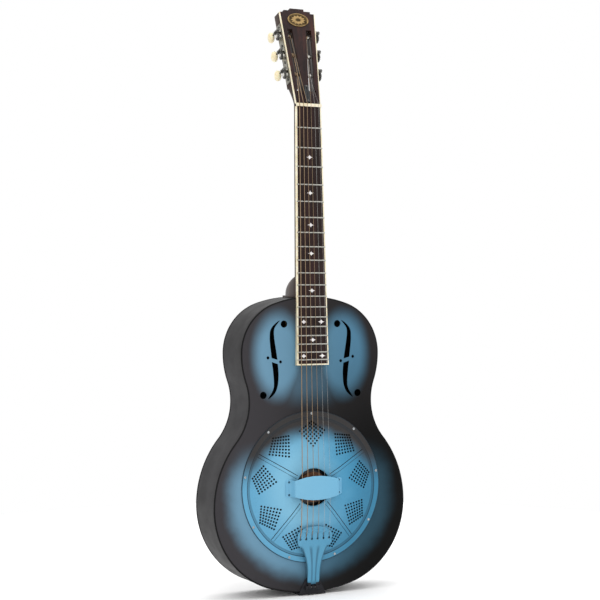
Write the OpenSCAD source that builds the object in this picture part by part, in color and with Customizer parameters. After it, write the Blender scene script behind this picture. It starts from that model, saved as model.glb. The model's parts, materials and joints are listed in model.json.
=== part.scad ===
// Steel-bodied resonator guitar with a single spun cone, a slotted head and twelve frets clear of
// the body.  The origin is on the centre line at the tail end of the body, half way through its
// depth.  +Z runs up the neck, +X is the treble side and the front faces -Y.  Millimetres.

/* [Body] */
// Length of the steel body from its tail to the neck joint
body_len = 493; // [488:1:500]
// Depth of the body from front plate to back plate
body_depth = 82.5; // [78:0.5:88]
// Half of the widest width, at the lower bout
lower_half = 174.8; // [172:0.1:178]
// Half of the width at the waist
waist_half = 112.8; // [110:0.1:115]
// Half of the width at the upper bout
upper_half = 126.3; // [124:0.1:129]
// Height of the lower bout's widest place above the tail
lower_z = 146; // [142:1:150]
// Height of the waist above the tail
waist_z = 318; // [314:1:322]
// Height of the upper bout's widest place above the tail
upper_z = 398; // [394:1:402]
// Radius of the flat curve across the tail
tail_r = 270; // [255:5:285]
// Radius of the flank between lower bout and waist
flank_r = 170; // [165:1:175]
// Radius of the flat curve across the shoulders
crown_r = 203; // [198:1:208]
// Thickness of the steel sheet
sheet = 1.2; // [1:0.1:1.6]

/* [Resonator] */
// Outer radius of the coverplate
cover_r = 126.3; // [125:0.1:128]
// Radius of the hole in the middle of the coverplate
cover_hole_r = 31; // [29:0.5:32]
// Inner radius of the well that holds the cone
well_r = 118.3; // [117.5:0.1:118.5]
// Height of the well's ledge above the middle of the body
ledge_h = 12; // [10:0.5:14]
// Radius of the biscuit under the saddle
biscuit_r = 25; // [23:0.5:26]

/* [Neck] */
// Vibrating length of the strings
scale_len = 635; // [628:1:642]
// Tilt of the neck away from the body's front, in degrees
neck_angle = 1.9; // [1.6:0.1:2.2]
// Width of the neck at the nut
nut_w = 46.1; // [45:0.1:48]
// Width of the fretboard at its lower end
board_end_w = 57.8; // [56:0.1:60]
// Thickness of the fretboard
board_t = 5; // [4.8:0.1:5.4]
// Number of frets
fret_count = 19; // [17:1:19]

/* [Head] */
// Tilt of the head away from the body's front, in degrees
head_tilt = 15.3; // [13:0.1:16]
// Length of the head along its face
head_len = 173.5; // [170:0.5:175]
// Half of the head's width at its shoulders
head_half = 32.9; // [31.5:0.1:34]
// Thickness of the head with its veneer
head_t = 21.5; // [18:0.1:23]

/* [Tuners] */
// Distance from one tuner to the next
tuner_pitch = 35; // [34.5:0.1:35.5]
// Distance of the first tuner from the nut
tuner_start = 55; // [54:0.5:56]
// Radius of a string roller
roller_r = 3.2; // [3:0.1:3.4]

/* [Hidden] */
$fn = 48;

// Shared places
front_y = -body_depth / 2;
back_y = body_depth / 2;
front_h = body_depth / 2;
board_y = front_y - board_t;
half_scale = scale_len / 2;
cone_z = body_len - half_scale * cos(neck_angle);
rim_depth = 2;
ring_half = front_h - rim_depth;
well_wall = 1.5;
cover_screw_r = 122.1;
cover_screws = 9;
screw_r = 1.5;
hole_gap = 0.1;

// Colours
steel_blue = [0.35, 0.62, 0.78];
steel_dark = [0.22, 0.22, 0.23];
bright = [0.80, 0.80, 0.78];
dull = [0.42, 0.42, 0.42];
rosewood = [0.19, 0.10, 0.09];
mahogany = [0.27, 0.17, 0.11];
cream = [0.93, 0.88, 0.74];
bronze = [0.72, 0.52, 0.32];

// --- outline of the body, a chain of tangent arcs -----------------------------------------------

function arc(cx, cz, r, a0, a1, n) =
  [for (i = [0 : n - 1]) [cx + r * cos(a0 + (a1 - a0) * i / n), cz + r * sin(a0 + (a1 - a0) * i / n)]];
// Radius of the arc that touches the line x = w at height z, inside a circle of radius R on the axis
function inside_r(R, cz, w, z) = (R * R - w * w - (z - cz) * (z - cz)) / (2 * (R - w));
// Sum of the radii of two outer-touching arcs, one at the waist and one at a bout
function touch_sum(bout, bout_z) =
  (pow(bout - waist_half, 2) + pow(bout_z - waist_z, 2)) / (2 * (bout - waist_half));

low_r = inside_r(tail_r, tail_r, lower_half, lower_z);
waist_r = touch_sum(lower_half, lower_z) - flank_r;
hip_r = touch_sum(upper_half, upper_z) - waist_r;
crown_z = body_len - crown_r;
shoulder_r = inside_r(crown_r, crown_z, upper_half, upper_z);
tail_a = atan2(lower_z - tail_r, lower_half - low_r);
flank_a = atan2(waist_z - lower_z, waist_half + waist_r - lower_half + flank_r);
hip_a = atan2(waist_z - upper_z, waist_half + waist_r - upper_half + hip_r);
crown_a = atan2(upper_z - crown_z, upper_half - shoulder_r);

function half_outline(t) = concat(
  arc(0, tail_r, tail_r - t, -90, tail_a, 6),
  arc(lower_half - low_r, lower_z, low_r - t, tail_a, 0, 14),
  arc(lower_half - flank_r, lower_z, flank_r - t, 0, flank_a, 8),
  arc(waist_half + waist_r, waist_z, waist_r + t, 180 + flank_a, 180 + hip_a, 10),
  arc(upper_half - hip_r, upper_z, hip_r - t, hip_a, 0, 4),
  arc(upper_half - shoulder_r, upper_z, shoulder_r - t, 0, crown_a, 12),
  arc(0, crown_z, crown_r - t, crown_a, 90, 5));
function mirrored(pts) = [for (i = [len(pts) - 1 : -1 : 1]) [-pts[i][0], pts[i][1]]];
function outline(t) = concat(half_outline(t), [[0, body_len - t]], mirrored(half_outline(t)));

// --- places and frames --------------------------------------------------------------------------

// A flat drawing in X and Z, made solid from y0 to y1
module slab(y0, y1) {
  translate([0, y1, 0]) rotate([90, 0, 0]) linear_extrude(y1 - y0) children();
}
// Local Z points out of the front at the middle of the cone
module on_cone() {
  translate([0, 0, cone_z]) rotate([90, 0, 0]) children();
}
// Origin on the playing surface at the neck joint, Z towards the nut and -Y out of the surface
module on_neck() {
  translate([0, board_y, body_len]) rotate([-neck_angle, 0, 0]) children();
}
nut_len = 5;
face_drop = 1.5;
head_y = board_y + face_drop * cos(neck_angle) + (half_scale + nut_len) * sin(neck_angle);
head_z = body_len - face_drop * sin(neck_angle) + (half_scale + nut_len) * cos(neck_angle);
// Origin on the head's face at the nut, Z towards the crown and +Y into the wood
module on_head() {
  translate([0, head_y, head_z]) rotate([-head_tilt, 0, 0]) children();
}
shoulder_a = head_len - 7.5;
side_tilt = atan((head_half - nut_w / 2) / shoulder_a);
// Origin at a side edge of the head, X out of the side and Z along the edge
module on_side(treble) {
  on_head() mirror([treble ? 0 : 1, 0, 0]) translate([nut_w / 2, 0, 0]) rotate([0, side_tilt, 0])
    children();
}
function head_half_at(a) = nut_w / 2 + a * tan(side_tilt);
function fret_z(n) = half_scale - scale_len * (1 - pow(2, -n / 12));
board_end = fret_z(fret_count) - 9;
function board_half(z) =
  (nut_w + (board_end_w - nut_w) * (half_scale - z) / (half_scale - board_end)) / 2;

// --- steel body ---------------------------------------------------------------------------------

// One f-hole on the treble side: two curved halves, a bridge between them and four round holes
f_upper = [[56.5, 453], [66, 447], [73.3, 438], [75, 426], [74, 411], [71.6, 391],
  [60.8, 388], [63.8, 407], [66.2, 422], [67, 434], [65, 442]];
f_lower = [[71.2, 384.6], [69.2, 370], [67.6, 350], [69.4, 338], [78, 323.4],
  [66.6, 331.6], [61, 343], [59.2, 355], [59, 368], [60.2, 381]];
f_rounds = [[49, 447, 6], [86.6, 330, 6], [78, 391.5, 2.6], [55.4, 384.5, 2.6]];

module f_hole() {
  polygon(f_upper);
  polygon(f_lower);
  for (h = f_rounds) translate([h[0], h[1]]) circle(h[2]);
}

module cover_screw_places() {
  for (i = [0 : cover_screws - 1])
    on_cone() rotate(90 + i * 360 / cover_screws) translate([cover_screw_r, 0, 0]) children();
}

module body_top() color(steel_blue) difference() {
  union() {
    slab(front_y, front_y + 0.8) polygon(outline(1));
    slab(front_y + 0.8, front_y + rim_depth) polygon(outline(0));
  }
  slab(front_y + sheet, front_y + rim_depth + 1) polygon(outline(3));
  on_cone() cylinder(r = well_r, h = 60, $fn = 96);
  slab(front_y - 1, front_y + rim_depth) f_hole();
  slab(front_y - 1, front_y + rim_depth) mirror([1, 0]) f_hole();
  cover_screw_places() cylinder(r = screw_r + hole_gap, h = 60);
}

heel_window_w = 40;
heel_window_y = [-28, 30];
tenon_len = 10;
module body_sides() color(steel_dark) difference() {
  slab(-ring_half, ring_half) difference() {
    polygon(outline(0));
    polygon(outline(sheet));
  }
  translate([-heel_window_w / 2, heel_window_y[0], body_len - 20])
    cube([heel_window_w, heel_window_y[1] - heel_window_y[0], 40]);
  for (x = [-bracket_screw_x, 0, bracket_screw_x])
    translate([x, bracket_screw_y, -5]) cylinder(r = screw_r + hole_gap, h = 20);
}

module body_back() color(steel_dark) mirror([0, 1, 0]) difference() {
  union() {
    slab(front_y, front_y + 0.8) polygon(outline(1));
    slab(front_y + 0.8, front_y + rim_depth) polygon(outline(0));
  }
  slab(front_y + sheet, front_y + rim_depth + 1) polygon(outline(3));
}

// --- resonator ----------------------------------------------------------------------------------

well_windows = 10;
module soundwell() color(bright) difference() {
  on_cone() rotate_extrude($fn = 96) polygon([
    [106, ledge_h], [well_r + well_wall, ledge_h], [well_r + well_wall, front_h - 2 * sheet],
    [126, front_h - 2 * sheet], [126, front_h - sheet], [well_r, front_h - sheet],
    [well_r, ledge_h + sheet], [106, ledge_h + sheet]]);
  for (i = [0 : well_windows - 1])
    on_cone() rotate(18 + i * 360 / well_windows) translate([well_r - 10, 0, ledge_h + 14])
      rotate([0, 90, 0]) cylinder(r = 8, h = 20);
  cover_screw_places() cylinder(r = screw_r + hole_gap, h = 60);
}

cone_r = well_r - 0.8;
cone_top_r = 21;
cone_top_h = 42;
cone_t = 1;
module resonator_cone() color(bright) difference() {
  on_cone() rotate_extrude($fn = 96) polygon([
    [0, cone_top_h - cone_t], [cone_top_r, cone_top_h - cone_t], [70, 27.5], [112, ledge_h + 4.5],
    [114, ledge_h + sheet], [cone_r, ledge_h + sheet], [cone_r, ledge_h + sheet + 2.2],
    [115.5, ledge_h + sheet + 2.2], [112.8, ledge_h + 5.6], [70.6, 28.6],
    [cone_top_r, cone_top_h], [0, cone_top_h]]);
  on_cone() translate([0, 0, cone_top_h - 5]) cylinder(r = screw_r + hole_gap, h = 10);
}

biscuit_t = 6;
saddle_half = 30;
saddle_t = 3;
module biscuit() color(mahogany) difference() {
  on_cone() translate([0, 0, cone_top_h]) cylinder(r = biscuit_r, h = biscuit_t);
  translate([-saddle_half, -cone_top_h - biscuit_t - 1, cone_z - saddle_t / 2])
    cube([2 * saddle_half, 4, saddle_t]);
  on_cone() cylinder(r = screw_r, h = cone_top_h + biscuit_t - 3);
}

// Strings: bass to treble, half thickness, place on the nut, place on the saddle
string_r = [0.71, 0.57, 0.45, 0.33, 0.21, 0.17];
string_names = ["e_low", "a", "d", "g", "b", "e_high"];
nut_step = 7;
saddle_step = 10.3;
tail_step = 10.5;
nut_lift = 1.5;
saddle_lift = 3.4;
function spread(i, step) = (i - 2.5) * step;
function neck_point(x, y, z) = [x,
  board_y + y * cos(neck_angle) + z * sin(neck_angle),
  body_len - y * sin(neck_angle) + z * cos(neck_angle)];
function nut_point(i) = neck_point(spread(i, nut_step), -nut_lift - string_r[i], half_scale);
function saddle_point(i) = neck_point(spread(i, saddle_step), -saddle_lift - string_r[i], -half_scale);
saddle_top = -(saddle_point(0)[1] + string_r[0]);

module saddle() color([0.80, 0.62, 0.40]) difference() {
  translate([-26.5, -saddle_top - 0.6, cone_z - saddle_t / 2 + 0.05])
    cube([53, saddle_top + 0.6 - cone_top_h - biscuit_t + 3, saddle_t - 0.1]);
  for (i = [0 : 5])
    translate([saddle_point(i)[0], saddle_point(i)[1] - 5 + string_r[i] - 0.02, cone_z - 5])
      translate([-string_r[i] - 0.05, 0, 0]) cube([2 * string_r[i] + 0.1, 5, 10]);
  for (side = [-1, 1])
    translate([side * 37, -saddle_top - 8, cone_z]) rotate([0, side * 45, 0])
      cube([18, 20, 18], center = true);
}

module biscuit_screw() color(bright) on_cone() translate([0, 0, cone_top_h - cone_t - 1.5]) {
  cylinder(r = 3, h = 1.5);
  cylinder(r = screw_r, h = biscuit_t - 0.8);
}

// Coverplate: a flat rim, a groove, a shallow cone with pierced kites, and a flat land at the hole
cover_t = 1.15;
land_h = 50;
land_r = 56;
groove_r = 112;
groove_h = 41.6;
rim_h = front_h + cover_t;
kites = 9;
kite_rows = 7;
kite_hole_r = 1.75;
kite_corners = [[68.5, 0], [93.5, 22.5], [108.5, 0], [93.5, -22.5]];
// Place in the kite for two steps from 0 to 1 along its inner sides
function kite_point(u, v) =
  kite_corners[0] * (1 - u) * (1 - v) + kite_corners[1] * u * (1 - v)
  + kite_corners[2] * u * v + kite_corners[3] * (1 - u) * v;
rib_angles = [-140, -60, 60, 140];
rib_w = 6;
rib_start = 36;
rib_end = 111.5;
rib_lift = 0.5;
slope = atan((land_h - groove_h) / (groove_r - land_r));
ridge = 1 / cos(180 / kites);
ridge_slope = atan(tan(slope) / ridge);

// Nine-sided cone whose flat faces rise from the groove to the land, drop lower than the outside
module cover_pyramid(drop, top_h) {
  base_h = groove_h - 2;
  reach = function(h) land_r + (land_h - drop - h) / tan(slope);
  translate([0, 0, base_h])
    cylinder(r1 = reach(base_h) * ridge, r2 = reach(top_h) * ridge, h = top_h - base_h, $fn = kites);
}
module kite_of_holes() {
  for (i = [0 : kite_rows - 1], j = [0 : kite_rows - 1])
    let (p = kite_point(i / (kite_rows - 1), j / (kite_rows - 1)))
      translate(p) circle(kite_hole_r, $fn = 16);
}
module coverplate() color(steel_blue) difference() {
  on_cone() union() {
    rotate_extrude($fn = 96) polygon([
      [cover_r, front_h], [cover_r, rim_h], [116.5, rim_h], [114.3, groove_h], [106, groove_h],
      [106, groove_h - cover_t], [114.9, groove_h - cover_t], [117, front_h]]);
    intersection() {
      difference() {
        cover_pyramid(0, land_h);
        cover_pyramid(cover_t / cos(slope), land_h - cover_t);
      }
      cylinder(r = 113, h = 60, $fn = 96);
    }
    translate([0, 0, land_h - 2.5]) cylinder(r = cover_hole_r + cover_t, h = 2);
    for (a = rib_angles) rotate(90 - a) {
      translate([land_r * ridge, 0, land_h + rib_lift]) rotate([0, ridge_slope, 0])
        translate([-1, -rib_w / 2, -1.2]) cube([rib_end - land_r * ridge + 1.5, rib_w, 1.2]);
      translate([rib_start, -rib_w / 2, land_h - 0.6])
        cube([land_r * ridge - rib_start, rib_w, 0.6 + rib_lift]);
    }
  }
  on_cone() cylinder(r = cover_hole_r, h = 60);
  cover_screw_places() cylinder(r = screw_r + hole_gap, h = 60);
  hand_rest_screw_places() cylinder(r = 1.1, h = 60);
  for (k = [0 : kites - 1])
    on_cone() rotate(90 + k * 360 / kites) translate([land_r, 0, land_h]) rotate([0, slope, 0])
      translate([-land_r, 0, -3]) linear_extrude(6) kite_of_holes();
}

module coverplate_screws() color(bright) cover_screw_places() {
  translate([0, 0, rim_h]) intersection() {
    translate([0, 0, -2.2]) sphere(r = 4, $fn = 32);
    cylinder(r = 3.3, h = 3);
  }
  translate([0, 0, front_h - 8]) cylinder(r = screw_r, h = rim_h - front_h + 8);
}

// Hand rest: an arched plate that stands over the saddle on two flanged feet
rest_top_h = 64.6;
rest_t = 1.3;
rest_half = 39.5;
foot_x = 45.5;
foot_screw_z = 10.6;
rest_mid = 20;
rest_end = 13.5;
foot_half = 14;
foot_end = 51;
rest_arc_r = (rest_half * rest_half + pow(rest_mid - rest_end, 2)) / (2 * (rest_mid - rest_end));
module hand_rest_screw_places() {
  for (x = [-foot_x, foot_x], z = [-foot_screw_z, foot_screw_z])
    translate([x, 0, cone_z + z]) rotate([90, 0, 0]) children();
}
module hand_rest() color(steel_blue) difference() {
  translate([0, 0, cone_z]) intersection() {
    translate([0, 0, -rest_mid]) linear_extrude(2 * rest_mid) polygon([
      [-foot_end, -land_h - 0.05], [-foot_end, -land_h - rest_t], [-43, -land_h - rest_t],
      [-rest_half, -rest_top_h], [rest_half, -rest_top_h], [43, -land_h - rest_t],
      [foot_end, -land_h - rest_t], [foot_end, -land_h - 0.05],
      [42, -land_h - 0.05], [rest_half - 1.1, -rest_top_h + rest_t],
      [-rest_half + 1.1, -rest_top_h + rest_t], [-42, -land_h - 0.05]]);
    slab(-80, -40) {
      intersection() {
        translate([0, rest_mid - rest_arc_r]) circle(rest_arc_r, $fn = 128);
        translate([0, rest_arc_r - rest_mid]) circle(rest_arc_r, $fn = 128);
        square([2 * rest_half + 2, 2 * rest_mid], center = true);
      }
      for (side = [-1, 1]) translate([side * (rest_half + foot_end) / 2, 0])
        square([foot_end - rest_half, 2 * foot_half], center = true);
    }
  }
  hand_rest_screw_places() cylinder(r = 1.1 + hole_gap, h = 80);
}
module hand_rest_screws() color(bright) hand_rest_screw_places() {
  translate([0, 0, land_h - 3]) cylinder(r = 1.1, h = 3.2 + rest_t);
  translate([0, 0, land_h + rest_t]) cylinder(r = 2.2, h = 0.9);
}

// --- tailpiece ----------------------------------------------------------------------------------

tail_h = 53.2;
tail_t = 1.6;
tail_pin_z = 9;
tail_pin_h = 46.05;
tail_top_z = 112;
slot_z = 91;
lip_z = 104;
lip_r = 1.8;
// Half width of the tailpiece against height: rounded end, stem, flare, ears and crowned top
tail_edge = [[6, 14], [10, 16.5], [11.5, 22], [12, 34], [13, 46], [15.5, 58], [20, 70], [23, 77],
  [29.5, 80], [31, 86], [31, 99], [27, 104], [18, 109], [8, 111.4]];
module tail_plate_shape() {
  polygon(concat(tail_edge, [[0, tail_top_z]], [for (i = [len(tail_edge) - 1 : -1 : 0])
    [-tail_edge[i][0], tail_edge[i][1]]]));
}
tail_tilt = atan((tail_h - tail_pin_h) / (slot_z - tail_pin_z));
module on_tail() {
  translate([0, -tail_pin_h, tail_pin_z]) rotate([tail_tilt, 0, 0]) translate([0, 0, -tail_pin_z])
    children();
}
module tailpiece() color(steel_blue) on_tail() difference() {
  union() {
    slab(-tail_t / 2, tail_t / 2) tail_plate_shape();
    translate([0, 0, lip_z]) rotate([0, 90, 0]) cylinder(r = lip_r, h = 50, center = true);
    for (x = [-7, 7])
      translate([x, 0, tail_pin_z]) rotate([0, 90, 0]) cylinder(r = 3, h = 5, center = true);
    for (x = [-7, 7]) translate([x - 2.5, -tail_t / 2, tail_pin_z]) cube([5, tail_t, 8]);
    for (x = [-6, 0, 6])
      translate([x, -tail_t / 2, 18]) cylinder(r = 1.4, h = 40);
  }
  for (x = [-7, 7])
    translate([x, 0, tail_pin_z]) rotate([0, 90, 0]) cylinder(r = 1.55, h = 12, center = true);
  for (i = [0 : 5])
    translate([spread(i, tail_step), 0, slot_z]) rotate([90, 0, 0]) {
      cylinder(r = 2, h = 20, center = true);
      translate([-1, 0, -10]) cube([2, 11, 20]);
    }
}
module tailpiece_pin() color(dull) translate([0, -tail_pin_h, tail_pin_z])
  rotate([0, 90, 0]) cylinder(r = 1.5, h = 28, center = true);

// Bracket: knuckles for the pin, a flared plate on the front and a plate round the tail end
bracket_screw_x = 14;
bracket_screw_y = -14;
bracket_t = 1.6;
tail_edge_z = 1.2;
module tailpiece_bracket() color(steel_dark) difference() {
  union() {
    slab(front_y - bracket_t, front_y - 0.02)
      polygon([[-24, -bracket_t], [24, -bracket_t], [14, 20], [9, 26], [-9, 26], [-14, 20]]);
    translate([-24, front_y - bracket_t, -bracket_t - tail_edge_z])
      cube([48, 34, bracket_t + tail_edge_z - 0.02]);
    for (side = [-1, 1]) translate([side * 12, -tail_pin_h, tail_pin_z]) rotate([0, 90, 0])
      cylinder(r = 3, h = 4.4, center = true);
    for (side = [-1, 1]) translate([side * 12 - 2.2, -tail_pin_h, tail_pin_z - 3])
      cube([4.4, tail_pin_h + front_y, 6]);
    translate([-2.2, -tail_pin_h, tail_pin_z - 3]) cube([4.4, tail_pin_h + front_y, 6]);
    translate([0, -tail_pin_h, tail_pin_z]) rotate([0, 90, 0]) cylinder(r = 3, h = 4.4, center = true);
  }
  slab(front_y, 60) polygon(outline(0));
  translate([0, -tail_pin_h, tail_pin_z]) rotate([0, 90, 0]) cylinder(r = 1.5, h = 40, center = true);
  for (x = [-bracket_screw_x, 0, bracket_screw_x])
    translate([x, bracket_screw_y, -5]) cylinder(r = screw_r + hole_gap, h = 20);
}
module bracket_screws() color(dull) for (x = [-bracket_screw_x, 0, bracket_screw_x])
  translate([x, bracket_screw_y, -bracket_t - tail_edge_z]) {
    cylinder(r = screw_r, h = 14);
    translate([0, 0, -1.2]) cylinder(r = 2.6, h = 1.2);
  }

// --- neck ---------------------------------------------------------------------------------------

// Depth of wood behind the fretboard and half width, against the distance z from the joint
heel_depth = 78;
heel_start = 6;
heel_end = 33;
shaft_depth = 19.5;
function shaft(z) = shaft_depth - 3.5 * z / half_scale;
function heel_blend(z) = z <= heel_start ? 1
  : z >= heel_end ? 0
  : pow(1 - pow((z - heel_start) / (heel_end - heel_start), 2.2), 2 / 3);
function neck_depth(z) = shaft(z) + (heel_depth - shaft(z)) * heel_blend(z);
neck_steps = concat([for (i = [0 : 14]) heel_start + (heel_end - heel_start) * sin(90 * i / 14)],
  [for (i = [1 : 10]) heel_end + (half_scale + 4 - heel_end) * i / 10]);
section_n = 12;
shaft_round = 0.86;
// Half of an oval, squarer as s gets smaller, from y0 down to y0 + depth
function section(half, y0, depth, s, z) = [for (i = [0 : 2 * section_n])
  let (a = 180 * i / (2 * section_n))
  [half * sign(cos(a)) * pow(abs(cos(a)), s), y0 + depth * pow(sin(a), s), z]];
module through_sections(rings) {
  n = 2 * section_n + 1;
  m = len(rings);
  polyhedron(
    points = [for (r = rings) for (p = r) p],
    faces = concat([[for (i = [0 : n - 1]) i]], [[for (i = [n - 1 : -1 : 0]) (m - 1) * n + i]],
      [for (k = [0 : m - 2], i = [0 : n - 1]) let (j = (i + 1) % n)
        each [[k * n + i, (k + 1) * n + i, (k + 1) * n + j], [k * n + i, (k + 1) * n + j, k * n + j]]]));
}

module neck_shaft() through_sections(
  [for (z = concat([-4], neck_steps)) section(board_half(z), board_t, neck_depth(z), shaft_round, z)]);

veneer_t = 2;
// The round neck turns into the square head: place, depth below the face and squareness
throat_end = 34;
throat = [[-3, 19.5, shaft_round], [6, 19.7, 0.78], [14, 20.2, 0.64], [22, 20.8, 0.46], [29, 21.3, 0.3],
  [throat_end, head_t, 0.2]];
module head_throat() through_sections([for (t = throat)
  section(head_half_at(max(t[0], 0)), veneer_t, t[1] - veneer_t, t[2], t[0])]);

bind_w = 1.6;
bind_d = 3.6;
slot_start = 24;
slot_end = 135;
cheek_w = 8.5;
function slot_inner(a) = 5 + 0.0745 * (a - 30);
function slot_outer(a) = head_half_at(a) - cheek_w;
// Outline of the head: straight sides and a crown of three steps
module head_shape(inset) {
  right = [[head_half_at(0) - inset, 0], [head_half_at(shoulder_a) - inset, shoulder_a],
    [24.5, shoulder_a], [24.5, head_len - 3.8], [12.8, head_len - 3.8], [12.8, head_len]];
  polygon(concat(right, [for (i = [5 : -1 : 0]) [-right[i][0], right[i][1]]]));
}
module slot_shape() polygon([[slot_inner(slot_start), slot_start], [slot_outer(slot_start), slot_start],
  [slot_outer(slot_end), slot_end], [slot_inner(slot_end), slot_end]]);
// Ramp at the nut end of a slot, which clears the outer string
ramp_start = 12;
ramp_d = 2.8;
ramp_x = [5.4, 17.6];
module slot_ramp() translate([ramp_x[0], 0, 0]) rotate([90, 0, 90])
  linear_extrude(ramp_x[1] - ramp_x[0])
    polygon([[0, ramp_start], [-2, ramp_start], [-2, slot_start + 1], [ramp_d, slot_start + 1],
      [ramp_d, slot_start]]);
module head_slots(y0, y1) for (side = [0, 1]) mirror([side, 0, 0]) {
  slab(y0, y1) slot_shape();
  slot_ramp();
}
function tuner_a(k) = tuner_start + k * tuner_pitch;
roller_d = 10;
roller_in = 21;
module roller_bores(r) for (treble = [false, true], k = [0 : 2])
  on_side(treble) translate([-roller_in - 0.1, roller_d, tuner_a(k)]) rotate([0, 90, 0])
    cylinder(r = r, h = 40);
rod_r = 2.6;
rod_tip_r = 1.8;
rod_d = 5;
nut_r = 3.2;

module neck() color(mahogany) difference() {
  union() {
    difference() {
      on_neck() neck_shaft();
      slab(front_y - 2, back_y) polygon(outline(-0.02));
    }
    on_head() head_throat();
    on_head() slab(veneer_t, head_t) intersection() {
      head_shape(0);
      translate([-60, throat_end - 1]) square([120, head_len]);
    }
    translate([-heel_window_w / 2 + 0.1, heel_window_y[0] + 0.1, body_len - tenon_len])
      cube([heel_window_w - 0.2, heel_window_y[1] - heel_window_y[0] - 0.2, tenon_len + 2]);
  }
  on_head() head_slots(-1, head_t + 1);
  on_head() slab(-5, bind_d) difference() {
    translate([-60, 0]) square([120, shoulder_a]);
    head_shape(bind_w);
  }
  roller_bores(roller_r + 0.06);
  on_neck() translate([0, board_t + rod_d, 6]) cylinder(r = rod_r + 0.1, h = half_scale + 4);
  on_neck() translate([0, board_t + rod_d, half_scale + 6.5]) cylinder(r = nut_r + 0.4, h = 22);
  on_head() translate([-3, -1, 9]) cube([6, 8, 20]);
  for (x = [-8, 8]) translate([x, 10, body_len - 20]) cylinder(r = 3, h = 36);
}
module truss_rod() color(dull) on_neck() translate([0, board_t + rod_d, 8]) {
  cylinder(r = rod_r, h = half_scale - 2);
  cylinder(r = rod_tip_r, h = half_scale + 3);
}
truss_nut_z = half_scale + 8;
module truss_nut() color(bright) on_neck() translate([0, board_t + rod_d, truss_nut_z])
  difference() {
    cylinder(r = nut_r, h = 9);
    translate([0, 0, -1]) cylinder(r = rod_tip_r + 0.06, h = 6);
    translate([0, 0, 4.5]) cylinder(r = 2.3, h = 6, $fn = 6);
  }
cover_plate_t = 1.5;
truss_screw_a = [5, 31];
module truss_cover() color([0.1, 0.1, 0.1]) on_head() difference() {
  slab(-cover_plate_t, -0.02)
    polygon([[-5.2, 2.5], [5.2, 2.5], [3.8, 31], [2.6, 33], [-2.6, 33], [-3.8, 31]]);
  for (a = truss_screw_a)
    translate([0, 1, a]) rotate([90, 0, 0]) cylinder(r = 0.8 + hole_gap, h = 10);
}
stick_half = 16;
stick_y = [-2, 33];
stick_end = 3.2;
module neck_stick() color([0.66, 0.5, 0.33]) difference() {
  union() {
    translate([-stick_half, stick_y[0], stick_end])
      cube([2 * stick_half, stick_y[1] - stick_y[0], body_len - tenon_len - stick_end]);
    translate([-30, -24, stick_end]) cube([60, 62, 18]);
  }
  for (x = [-8, 8]) translate([x, 10, body_len - 50]) cylinder(r = 3, h = 50);
  for (x = [-bracket_screw_x, 0, bracket_screw_x])
    translate([x, bracket_screw_y, -5]) cylinder(r = screw_r + hole_gap, h = 20);
}
module stick_blocks() color([0.6, 0.45, 0.3]) {
  for (z = [70, 250]) translate([-14, stick_y[1], z]) cube([28, back_y - sheet - stick_y[1], 40]);
  translate([-14, front_y + sheet, 400]) cube([28, stick_y[0] - front_y - sheet, 50]);
}
module neck_bolts() color(dull) for (x = [-8, 8])
  translate([x, 10, body_len - 46]) cylinder(r = 2.9, h = 58);

// --- fretboard ----------------------------------------------------------------------------------

bind = 2.3;
module board_shape(inset, z0, z1) polygon([
  [-board_half(z0) + inset, z0], [board_half(z0) - inset, z0],
  [board_half(z1) - inset, z1], [-board_half(z1) + inset, z1]]);
// The board lies on the neck, and its lower end is a wedge that fills up to the steel
module board_blank(inset, end_inset) {
  on_neck() slab(0, board_t) board_shape(inset, 0, half_scale);
  difference() {
    on_neck() slab(0, 2 * board_t) board_shape(inset, board_end + end_inset, 0);
    translate([-50, front_y, 0]) cube([100, 50, body_len + 20]);
  }
}
star_half = [6.5, 4.1];
star_power = 0.62;
function star(n) = [for (i = [0 : n - 1]) let (a = 360 * i / n)
  [star_half[0] * sign(cos(a)) * pow(abs(cos(a)), 2 / star_power),
   star_half[1] * sign(sin(a)) * pow(abs(sin(a)), 2 / star_power)]];
single_stars = [3, 5, 7, 9, 12, 17];
double_stars = [[15, 16], [19, 17]];
inlay_t = 1;
function between_frets(n) = (fret_z(n) + fret_z(n - 1)) / 2;
module star_shapes() {
  for (n = single_stars) translate([0, between_frets(n)]) polygon(star(24));
  for (d = double_stars, side = [-1, 1])
    translate([side * d[1], between_frets(d[0])]) polygon(star(24));
}
tang_w = 0.6;
tang_d = 2;
module fretboard() color(rosewood) difference() {
  board_blank(bind, bind);
  on_neck() slab(-1, inlay_t) star_shapes();
  for (n = [1 : fret_count])
    on_neck() translate([-40, -1, fret_z(n) - tang_w / 2]) cube([80, tang_d + 1, tang_w]);
}
module fretboard_binding() color(cream) difference() {
  board_blank(0, 0);
  on_neck() slab(-20, 40) board_shape(bind, board_end + bind, half_scale + 1);
}
crown_half = 1.15;
crown_lift = 1.0;
module frets() color(bright) for (n = [1 : fret_count]) on_neck() translate([0, 0, fret_z(n)]) {
  rotate([90, 0, 90]) linear_extrude(2 * board_half(fret_z(n)) - 0.8, center = true)
    polygon([for (i = [0 : 8]) let (a = 180 * i / 8) [-crown_lift * sin(a), crown_half * cos(a)]]);
  translate([-board_half(fret_z(n)) + bind, 0, -tang_w / 2])
    cube([2 * board_half(fret_z(n)) - 2 * bind, tang_d, tang_w]);
}
module inlays() color([0.92, 0.93, 0.92]) on_neck() slab(0, inlay_t) star_shapes();

module nut() color(cream) difference() {
  on_neck() translate([-nut_w / 2, -2.4, half_scale]) cube([nut_w, board_t + 2.4, nut_len]);
  on_head() slab(0, 40) square([80, 30], center = true);
  for (i = [0 : 5]) on_neck() translate([spread(i, nut_step) - string_r[i] - 0.05, -6, half_scale - 1])
    cube([2 * string_r[i] + 0.1, 6 - nut_lift + 0.02, nut_len + 2]);
}

// --- head fittings ------------------------------------------------------------------------------

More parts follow.
